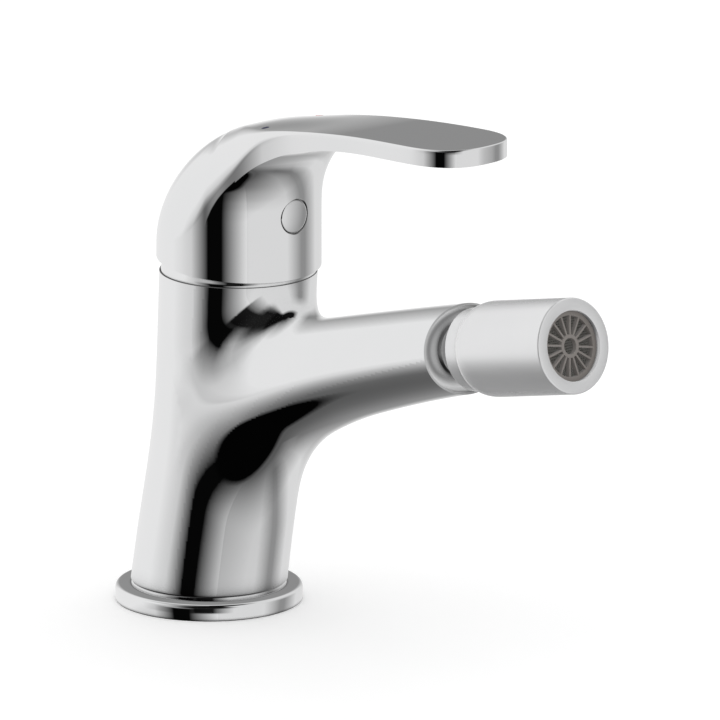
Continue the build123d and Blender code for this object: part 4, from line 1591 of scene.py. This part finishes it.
    def outer_rows(
        self, walk: dict[str, np.ndarray], high: dict[str, np.ndarray]
    ) -> list[np.ndarray]:
        """The rows of the top and side, from the ridge to the hood's lower edge.

        Args:
            walk: The stations.
            high: Their heights.

        Returns:
            One array of points for each row.
        """
        x, y, nx, ny = walk["x"], walk["y"], walk["nx"], walk["ny"]
        length = np.hypot(x - walk["ridge"], y)
        width = np.minimum(high["width"], length)
        inner_x, inner_y = x - nx * width, y - ny * width
        pole = walk["round"]
        rows = []
        shares = [("flat", t) for t in np.linspace(0, 1, self.top_rows)[:-1]]
        shares += [("round", t) for t in np.linspace(0, 1, self.round_rows)]
        for kind, share in shares:
            if kind == "flat":
                px = walk["ridge"] + (inner_x - walk["ridge"]) * share
                py = inner_y * share
                drop = np.zeros_like(px)
            else:
                turn = share * math.pi / 2
                px = inner_x + nx * width * math.sin(turn)
                py = inner_y + ny * width * math.sin(turn)
                drop = high["height"] * (1 - math.cos(turn))
            out = np.hypot(px - walk["ridge"], py) / np.maximum(length, TINY)
            out = np.where(length < AT_POLE, 0, np.clip(out, 0, 1))
            base = high["ridge"] + high["slope"] * (px - walk["ridge"])
            if kind == "flat" and share == 0:
                py = np.zeros_like(py)
                px = np.where(pole, self.axis_x, px)
            rows.append(np.stack([px, py, base - high["crown"] * out**2 - drop], 1))
        top = rows[-1][:, 2]
        for share in np.linspace(0, 1, self.side_rows + 1)[1:]:
            rows.append(np.stack([x, y, top + (high["edge"] - top) * share], 1))
        return rows

    def around(
        self, angle: np.ndarray, away: np.ndarray | float, height: np.ndarray | float
    ) -> np.ndarray:
        """Places points about the cap's axis.

        Args:
            angle: Their angles from +X.
            away: Their distances from the axis, or one for all.
            height: Their heights, or one for all.

        Returns:
            The points, one to a row.
        """
        x, y = self.axis_x + away * np.cos(angle), away * np.sin(angle)
        return np.stack([x, y, np.broadcast_to(height, x.shape)], 1)

    def under_rows(
        self, angle: np.ndarray, away: np.ndarray, edge: np.ndarray, shoulder: np.ndarray
    ) -> list[np.ndarray]:
        """The rows under the hood and blade, from their lower edge to the cap.

        Args:
            angle: The stations' angles about the cap's axis.
            away: Their distances from it.
            edge: The points of the lower edge.
            shoulder: The points where the cap's wall starts.

        Returns:
            One array of points for each row.
        """
        length, line = self.flare_line()
        reach = self.underside(away)[0]
        reach[0] = 0.0
        rows = []
        for share in np.linspace(1, 0, self.flare_rows + 1):
            at = reach * share**self.flare_power
            away, height = (np.interp(at, length, values) for values in line.T)
            rows.append(self.around(angle, away, height))
        rows[0], rows[-1] = edge, shoulder
        return rows

    def build(self) -> bpy.types.Object:
        """Makes the handle as one closed skin, with its hollow and the plug's seat.

        Returns:
            The piece.
        """
        walk = self.stations()
        high = self.heights(walk)
        top = self.outer_rows(walk, high)
        verts: list[Triple] = []
        faces: list[tuple[int, ...]] = []

        def sheet(lines: list[np.ndarray]) -> None:
            """Adds a sheet and its mirror image.

            Args:
                lines: The sheet's rows, of equal length.
            """
            for side in (1, -1):
                start, count = len(verts), len(lines[0])
                for line in lines:
                    verts.extend((p[0], p[1] * side, p[2]) for p in line)
                for i in range(len(lines) - 1):
                    for k in range(count - 1):
                        a = start + i * count + k
                        quad = (a, a + 1, a + count + 1, a + count)
                        faces.append(quad if side > 0 else quad[::-1])

        sheet(top)
        angle = np.arctan2(walk["y"], walk["x"] - self.axis_x)
        drop = self.foot_slope * self.radius * np.cos(angle)
        foot = self.around(angle, self.radius, self.foot_z - drop)
        last = int(walk["round"].sum())
        shoulder = foot.copy()
        shoulder[:last, 2] = top[-1][:last, 2]
        shoulder[last:, 2] = self.flare[0][1]
        shares = np.linspace(0, 1, self.wall_rows + 1)
        sheet([shoulder + (foot - shoulder) * share for share in shares])
        front = slice(last - 1, None)
        sheet(self.under_rows(angle[front], high["away"][front], top[-1][front], shoulder[front]))
        rim = self.radius - self.rim_wall
        steps = ((rim, foot[:, 2]), (rim, self.hollow_z), *self.hollow)
        sheet([foot] + [self.around(angle, radius, height) for radius, height in steps])
        piece = add_piece("lever", np.array(verts), faces, CHROMED_ZINC.material())
        self._seat_plug(piece)
        return settle(piece, "lever", "chrome_zinc", "lever_handle")

    def _seat_plug(self, piece: bpy.types.Object) -> None:
        """Bores the seat of the screw plug in the cap's front.

        Args:
            piece: The lever.
        """
        radius, floor, depth = self.plug_bore
        end = floor + depth
        outline = [(0.0, floor), (radius, floor), (radius, end), (0.0, end)]
        verts, faces = turned(outline, self.bore_segments)
        place = axis_place((0, 0, self.plug_z), (1, 0, 0))
        cutter = add_piece("plug_cutter", verts, faces, CHROMED_ZINC.material(), place)
        cut(piece, cutter)


@dataclass
class ScrewPlug:
    """The chromed plug over the grub screw, a little domed.

    Attributes:
        radius: The plug's radius.
        edge: The radius of its edge.
        back_x: The forward place of its back.
        face_x: The forward place of the middle of its face.
        dome: How far the middle stands out from the edge.
        z: The height of its axis.
        rows: Rows of faces on its edge, and on its face.
        segments: Faces round it.
    """

    radius: float = 5.2
    edge: float = 0.7
    back_x: float = 33.65
    face_x: float = 37.0
    dome: float = 0.3
    z: float = 122.0
    rows: int = 8
    segments: int = 96

    def build(self) -> bpy.types.Object:
        """Turns the plug.

        Returns:
            The piece.
        """
        points = [(0.0, self.back_x), (self.radius, self.back_x)]
        low = self.face_x - self.dome
        for step in range(self.rows + 1):
            turn = step / self.rows * math.pi / 2
            points.append(
                (
                    self.radius - self.edge * (1 - math.cos(turn)),
                    low - self.edge + self.edge * math.sin(turn),
                )
            )
        inner = self.radius - self.edge
        for step in range(1, self.rows + 1):
            share = 1 - step / self.rows
            points.append((inner * share, low + self.dome * (1 - share**2)))
        verts, faces = turned(points, self.segments)
        place = axis_place((0, 0, self.z), (1, 0, 0))
        piece = add_piece("plug_cap", verts, faces, RING_CHROME.material(), place)
        return settle(piece, "lever", "chrome", "screw_plug")


@dataclass
class IndexMark:
    """A dot of enamel let into the lever's top, flush with it.

    Attributes:
        name: The piece's name.
        node: The CAD node that it replaces.
        slot: Its slot in the record.
        side: 1 for the +Y side of the lever, -1 for the other.
        forward: The forward place of its middle.
        spacing: How far its middle is from the lever's middle plane.
        radius: The dot's radius.
        rise: How far it stands out.
        depth: How deep it goes in.
        face: The rings of its face, as shares of its radius.
        segments: Faces round it.
        look_from: The height from which the lever's top is looked for.
    """

    name: str
    node: str
    slot: str
    side: int
    forward: float = 35.8
    spacing: float = 10.8
    radius: float = 1.15
    rise: float = 0.06
    depth: float = 0.4
    face: tuple[float, ...] = (0.93, 0.6, 0.3, 0.0)
    segments: int = 32
    look_from: float = 271.6

    def build(self, lever: bpy.types.Object) -> bpy.types.Object:
        """Lays the dot on the lever.

        Args:
            lever: The lever's piece.

        Returns:
            The piece.
        """
        skin = BVHTree.FromPolygons(
            [v.co for v in lever.data.vertices], [p.vertices for p in lever.data.polygons]
        )
        rings = [(0.0, -self.depth), (1.0, -self.depth), (1.0, self.rise / 2)]
        rings += [(share, self.rise) for share in self.face]
        count = self.segments
        verts = []
        for share, lift in rings:
            for step in range(count):
                turn = step / count * 2 * math.pi
                x = self.forward + self.radius * share * math.cos(turn)
                y = self.side * self.spacing + self.radius * share * math.sin(turn)
                start = Vector((x, y, self.look_from)) * MM
                hit = skin.ray_cast(start, Vector((0, 0, -1)))[0]
                verts.append((x, y, hit.z / MM + lift))
        faces = [
            (row * count + k, row * count + (k + 1) % count,
             (row + 1) * count + (k + 1) % count, (row + 1) * count + k)
            for row in range(len(rings) - 1) for k in range(count)
        ]
        material = SLOT_FINISHES[self.slot].material()
        piece = add_piece(self.name, np.array(verts), faces, material)
        return settle(piece, "lever", self.slot, self.node)


# Geometry Nodes trees


def grown(name: str, tree: bpy.types.NodeTree, values: dict[str, float]) -> bpy.types.Object:
    """Grows a piece from a Geometry Nodes tree and keeps its plain mesh.

    Args:
        name: The piece's name.
        tree: The tree.
        values: What each named input is set to.

    Returns:
        The piece, with no modifier left on it.
    """
    piece = put(name, bpy.data.meshes.new(name + "_seed"))
    modifier = piece.modifiers.new(name, "NODES")
    modifier.node_group = tree
    for item in tree.interface.items_tree:
        if item.item_type == "SOCKET" and item.in_out == "INPUT" and item.name in values:
            modifier[item.identifier] = values[item.name]
    graph = bpy.context.evaluated_depsgraph_get()
    made = bpy.data.meshes.new_from_object(piece.evaluated_get(graph))
    made.name = name
    piece.modifiers.remove(modifier)
    piece.data = made
    return piece


@dataclass
class NodeTree(TreeMaker):
    """A Geometry Nodes tree under construction.

    Attributes:
        name: The tree's name.
        inputs: Its named inputs, each with a socket type and a first value.
    """

    tree: bpy.types.NodeTree | None = None
    name: str = "tree"
    inputs: tuple[tuple[str, str, float], ...] = ()

    def start(self) -> tuple[bpy.types.Node, bpy.types.Node]:
        """Makes the tree with its inputs and one geometry output.

        Returns:
            The input node and the output node.
        """
        self.tree = bpy.data.node_groups.new(self.name, "GeometryNodeTree")
        face = self.tree.interface
        face.new_socket("Geometry", in_out="OUTPUT", socket_type="NodeSocketGeometry")
        for name, kind, value in self.inputs:
            socket = face.new_socket(name, in_out="INPUT", socket_type=kind)
            socket.default_value = value
        return self.add("NodeGroupInput"), self.add("NodeGroupOutput")

    def build(self, material: bpy.types.Material) -> bpy.types.NodeTree:
        """Builds the tree, finished in a material; each kind of tree has its own way."""
        raise NotImplementedError

    def moved(self, source: bpy.types.NodeSocket, **inputs: object) -> bpy.types.NodeSocket:
        """Shifts, turns or sizes geometry by its Translation, Rotation or Scale."""
        return self.add("GeometryNodeTransform", {"Geometry": source, **inputs}).outputs[0]

    def spread(
        self, points: bpy.types.NodeSocket, piece: bpy.types.NodeSocket, **inputs: object
    ) -> bpy.types.NodeSocket:
        """Sets a piece on every point, with its own Rotation or Scale."""
        inputs = {"Points": points, "Instance": piece, **inputs}
        return self.add("GeometryNodeInstanceOnPoints", inputs).outputs[0]

    def finish(
        self, parts: Sequence[bpy.types.NodeSocket], out: bpy.types.Node,
        material: bpy.types.Material,
    ) -> bpy.types.NodeTree:
        """Ends the tree: joins its parts, realizes them and sets the material.

        Args:
            parts: The geometry sockets.
            out: The output node.
            material: What the piece is finished in.

        Returns:
            The tree.
        """
        together = self.add("GeometryNodeJoinGeometry")
        for part in parts:
            self.join(part, together, 0)
        real = self.add("GeometryNodeRealizeInstances", {0: together.outputs[0]})
        inputs = {"Geometry": real.outputs[0], "Material": material}
        paint = self.add("GeometryNodeSetMaterial", inputs)
        self.join(paint.outputs[0], out, 0)
        return self.tree


@dataclass
class GrilleTree(NodeTree):
    """A rim, a hub and spokes between them.

    Attributes:
        resolution: Faces round the rim and hub.
        root: How far a spoke's two ends go into rim and hub together, in metres.
        spoke_depth: The depth of a spoke as a share of the grille's.
    """

    name: str = "spoked_grille"
    inputs: tuple[tuple[str, str, float], ...] = (
        ("Rim Bore", "NodeSocketFloat", 0.009),
        ("Rim Radius", "NodeSocketFloat", 0.011),
        ("Hub Radius", "NodeSocketFloat", 0.0034),
        ("Hub Bore", "NodeSocketFloat", 0.0024),
        ("Spokes", "NodeSocketInt", 16),
        ("Spoke Width", "NodeSocketFloat", 0.0005),
        ("Depth", "NodeSocketFloat", 0.0015),
    )
    resolution: int = 96
    root: float = 0.0006
    spoke_depth: float = 0.94

    def ring(self, outer: object, inner: object, depth: object) -> bpy.types.NodeSocket:
        """Sweeps a square-edged ring that stands on the plane z 0.

        Args:
            outer: Its outer radius, a socket or a number.
            inner: Its inner radius.
            depth: Its height.

        Returns:
            The ring's geometry.
        """
        middle = self.math("MULTIPLY", self.math("ADD", outer, inner), 0.5)
        width = self.math("SUBTRACT", outer, inner)
        circle = self.add(
            "GeometryNodeCurvePrimitiveCircle", {"Resolution": self.resolution, "Radius": middle}
        )
        section = self.add(
            "GeometryNodeCurvePrimitiveQuadrilateral", {"Width": width, "Height": depth}
        )
        sweep = self.add(
            "GeometryNodeCurveToMesh",
            {"Curve": circle.outputs["Curve"], "Profile Curve": section.outputs["Curve"]},
        )
        half = self.math("MULTIPLY", depth, 0.5)
        return self.moved(sweep.outputs[0], Translation=self.vector(0.0, 0.0, half))

    def build(self, material: bpy.types.Material) -> bpy.types.NodeTree:
        """Builds the tree.

        Args:
            material: The grille's material.

        Returns:
            The tree.
        """
        source, out = self.start()
        depth, bore, hub = (source.outputs[n] for n in ("Depth", "Rim Bore", "Hub Radius"))
        rim = self.ring(source.outputs["Rim Radius"], bore, depth)
        boss = self.ring(hub, source.outputs["Hub Bore"], depth)
        reach = self.math("ADD", self.math("SUBTRACT", bore, hub), self.root)
        height = self.math("MULTIPLY", depth, self.spoke_depth)
        size = self.vector(reach, source.outputs["Spoke Width"], height)
        bar = self.add("GeometryNodeMeshCube", {"Size": size})
        middle = self.math("MULTIPLY", self.math("ADD", bore, hub), 0.5)
        half = self.math("MULTIPLY", depth, 0.5)
        spoke = self.moved(bar.outputs["Mesh"], Translation=self.vector(middle, 0.0, half))
        count = source.outputs["Spokes"]
        points = self.add("GeometryNodeMeshLine", {"Count": count, "Offset": (0.0, 0.0, 0.0)})
        number = self.math("ADD", self.add("GeometryNodeInputIndex").outputs[0], 0.5)
        turn = self.math("DIVIDE", self.math("MULTIPLY", number, 2 * math.pi), count)
        spokes = self.spread(points.outputs[0], spoke, Rotation=self.vector(0.0, 0.0, turn))
        return self.finish([rim, boss, spokes], out, material)


@dataclass
class ScreenTree(NodeTree):
    """Crossed wires, cut to a round.

    Attributes:
        sides: Faces round a wire.
        rise: How far the second layer lies over the first, in wire radii.
    """

    name: str = "wire_screen"
    inputs: tuple[tuple[str, str, float], ...] = (
        ("Radius", "NodeSocketFloat", 0.009),
        ("Pitch", "NodeSocketFloat", 0.0008),
        ("Wire Radius", "NodeSocketFloat", 0.00015),
    )
    sides: int = 6
    rise: float = 1.6

    def build(self, material: bpy.types.Material) -> bpy.types.NodeTree:
        """Builds the tree.

        Args:
            material: The wires' material.

        Returns:
            The tree.
        """
        source, out = self.start()
        radius, pitch, wire = (source.outputs[n] for n in ("Radius", "Pitch", "Wire Radius"))
        count = self.math("FLOOR", self.math("DIVIDE", self.math("MULTIPLY", radius, 2.0), pitch))
        span = self.math("MULTIPLY", self.math("SUBTRACT", count, 1.0), pitch)
        first = self.vector(self.math("MULTIPLY", span, -0.5), 0.0, 0.0)
        inputs = {"Count": count, "Start Location": first, "Offset": self.vector(pitch, 0.0, 0.0)}
        points = self.add("GeometryNodeMeshLine", inputs)
        place = self.add("GeometryNodeInputPosition")
        side = self.add("ShaderNodeSeparateXYZ", {0: place.outputs[0]}).outputs[0]
        square = self.math(
            "SUBTRACT", self.math("MULTIPLY", radius, radius), self.math("MULTIPLY", side, side)
        )
        chord = self.math("MULTIPLY", self.math("SQRT", square), 2.0)
        inputs = {"Vertices": self.sides, "Depth": 1.0, "Radius": wire}
        bar = self.add("GeometryNodeMeshCylinder", inputs)
        flat = self.moved(bar.outputs["Mesh"], Rotation=(math.pi / 2, 0.0, 0.0))
        wires = self.spread(points.outputs[0], flat, Scale=self.vector(1.0, chord, 1.0))
        lift = self.vector(0.0, 0.0, self.math("MULTIPLY", wire, self.rise))
        across = self.moved(wires, Rotation=(0.0, 0.0, math.pi / 2), Translation=lift)
        return self.finish([wires, across], out, material)


# The nozzle


@dataclass
class Nozzle:
    """The spray nozzle: collar, housing, spoked grille and screen, along its own axis.

    Attributes:
        origin: The centre of the spout's mouth.
        rise: How far the axis looks up, in degrees.
        collar: The collar's start, seam and radius.
        collar_opening: The radius of its opening at the back.
        socket: The radius of the ball's socket and its centre along the axis.
        housing: Where the shoulder ends, where the housing ends, and its radius.
        edge: The radius of the front edge.
        small_edges: The radii of the collar's edge at the seam and of the mouth's edge.
        seam_gap: The width of the seam between collar and housing.
        neck_step: How far the housing's neck lies under the collar's edge.
        thread: The thread's clearance in the bore, and its length.
        bore: The radius of the bore.
        mouth: The radius of the mouth and the thickness of its lip.
        grille: The back and front of the grille.
        rim_bore: The bore of the grille's rim.
        rim_radius: The rim's outer radius.
        hub: The radius of the hub and of its bore.
        spokes: The number of spokes.
        spoke_width: The width of a spoke.
        screen_pitch: The distance between the screen's wires.
        screen_wire: The radius of a wire.
        screen_place: The screen's place along the axis and its radius.
        socket_rows: Rows of faces in the ball's socket.
        shoulder_rows: Rows of faces on the shoulder.
        segments: Faces round the nozzle.
    """

    origin: Triple = (109.4, 0.0, 95.5)
    rise: float = 12.0
    collar: Triple = (3.5, 8.3, 12.15)
    collar_opening: float = 8.6
    socket: Point = (9.54, 8.0)
    housing: Triple = (14.0, 45.28, 14.0)
    edge: float = 0.45
    small_edges: Point = (0.12, 0.15)
    seam_gap: float = 0.15
    neck_step: float = 0.1
    thread: Point = (0.05, 3.2)
    bore: float = 11.1
    mouth: Point = (10.3, 1.4)
    grille: Point = (42.4, 43.85)
    rim_bore: float = 8.9
    rim_radius: float = 11.0
    hub: Point = (3.4, 2.4)
    spokes: int = 16
    spoke_width: float = 0.55
    screen_pitch: float = 0.75
    screen_wire: float = 0.16
    screen_place: Point = (41.7, 9.1)
    socket_rows: int = 8
    shoulder_rows: int = 14
    segments: int = 144

    @property
    def place(self) -> Matrix:
        """The turn and shift onto the nozzle's axis, in millimetres."""
        rise = math.radians(self.rise)
        return axis_place(self.origin, (math.cos(rise), 0, math.sin(rise)))

    def build(self) -> list[bpy.types.Object]:
        """Makes every piece of the nozzle that is seen.

        Returns:
            The pieces.
        """
        return [self._collar(), self._housing(), self._grille(), self._screen()]

    def _collar(self) -> bpy.types.Object:
        """Turns the collar behind the seam.

        Returns:
            The piece.
        """
        start, seam, radius = self.collar
        clearance, length = self.thread
        thread, end = self.bore - clearance, seam + length
        ball, centre = self.socket
        low = max(centre - math.sqrt(ball**2 - self.collar_opening**2), start)
        arc = [
            (math.sqrt(ball**2 - (s - centre) ** 2), float(s))
            for s in np.linspace(centre, low, self.socket_rows + 1)
        ]
        corners = [
            (self.collar_opening, start, 0.0), (radius, start, self.edge),
            (radius, seam, self.small_edges[0]), (thread, seam, 0.0), (thread, end, 0.0),
            (ball, end, 0.0),
        ]
        verts, faces = turned(rounded_profile(corners) + arc, self.segments)
        material = CHROMED_PLASTIC.material()
        piece = add_piece("nozzle_rear_collar", verts, faces, material, self.place)
        return settle(piece, "nozzle", "chrome_plastic", "nozzle_collar")

    def _housing(self) -> bpy.types.Object:
        """Turns the housing, with its round shoulder and lip.

        Returns:
            The piece.
        """
        neck, seam = self.collar[2], self.collar[1] + self.seam_gap
        shoulder, end, radius = self.housing
        mouth, lip = self.mouth
        points: list[Point] = [(self.bore, seam)]
        for step in range(self.shoulder_rows + 1):
            turn = step / self.shoulder_rows * math.pi / 2
            points.append(
                (
                    neck - self.neck_step + (radius - neck + self.neck_step) * math.sin(turn),
                    seam + (shoulder - seam) * (1 - math.cos(turn)),
                )
            )
        points += rounded_profile(
            [(radius, shoulder, 0.0), (radius, end, self.edge), (mouth, end, self.small_edges[1]),
             (mouth, end - lip, 0.0), (self.bore, end - lip, 0.0)]
        )[1:]
        verts, faces = turned(points, self.segments)
        piece = add_piece("nozzle_shell", verts, faces, CHROMED_PLASTIC.material(), self.place)
        return settle(piece, "nozzle", "chrome_plastic", "nozzle_housing")

    def _grille(self) -> bpy.types.Object:
        """Grows the spoked grille.

        Returns:
            The piece.
        """
        back, front = self.grille
        values = {
            "Rim Bore": self.rim_bore, "Rim Radius": self.rim_radius, "Hub Radius": self.hub[0],
            "Hub Bore": self.hub[1], "Spokes": self.spokes, "Spoke Width": self.spoke_width,
            "Depth": front - back,
        }
        piece = self._grown("spray_grille", GrilleTree(), values, back, GREY_PLASTIC)
        return settle(piece, "nozzle", "grey_plastic", "aerator_grille")

    def _screen(self) -> bpy.types.Object:
        """Grows the screen's wires.

        Returns:
            The piece.
        """
        place, radius = self.screen_place
        values = {"Radius": radius, "Pitch": self.screen_pitch, "Wire Radius": self.screen_wire}
        piece = self._grown("spray_screen", ScreenTree(), values, place, MESH_STEEL)
        return settle(piece, "nozzle", "steel_mesh", "aerator_mesh")

    def _grown(
        self, name: str, tree: NodeTree, values: dict[str, float], start: float, finish: Finish
    ) -> bpy.types.Object:
        """Grows a piece from a Geometry Nodes tree, on the nozzle's axis.

        Args:
            name: The piece's name.
            tree: The tree.
            values: Its named inputs: lengths in millimetres, and whole numbers.
            start: Where the piece starts along the axis.
            finish: What it is finished in.

        Returns:
            The piece.
        """
        inputs = {n: v if isinstance(v, int) else v * MM for n, v in values.items()}
        piece = grown(name, tree.build(finish.material()), inputs)
        piece.data.transform(
            Matrix.Scale(MM, 4) @ self.place @ Matrix.Translation((0, 0, start))
            @ Matrix.Scale(1 / MM, 4)
        )
        dress(piece, finish.material())
        return piece


# The mixer


def dress_nodes(nodes: dict[str, bpy.types.Object], record: dict) -> None:
    """Finishes every CAD node as its slot in the record says.

    Args:
        nodes: The CAD nodes by name.
        record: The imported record.
    """
    for part in record["subparts"]:
        node = nodes[part["node"]]
        node.data.materials.clear()
        node.data.materials.append(SLOT_FINISHES[part["material_slot"]].material())
        node.visible_glossy = False


def main() -> None:
    """Builds the mixer's looks on its CAD frame."""
    logging.basicConfig(level=logging.INFO, format="%(name)s: %(message)s")
    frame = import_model()
    PhotoCamera().build()
    Studio().build()
    dress_nodes(frame["nodes"], frame["record"])
    BaseRing().build()
    Casting().build()
    CoverRing().build()
    lever = Lever().build()
    IndexMark("red_index_mark", "hot_mark", "red_enamel", 1).build(lever)
    IndexMark("blue_index_mark", "cold_mark", "blue_enamel", -1).build(lever)
    ScrewPlug().build()
    Nozzle().build()


if __name__ == "__main__":
    main()
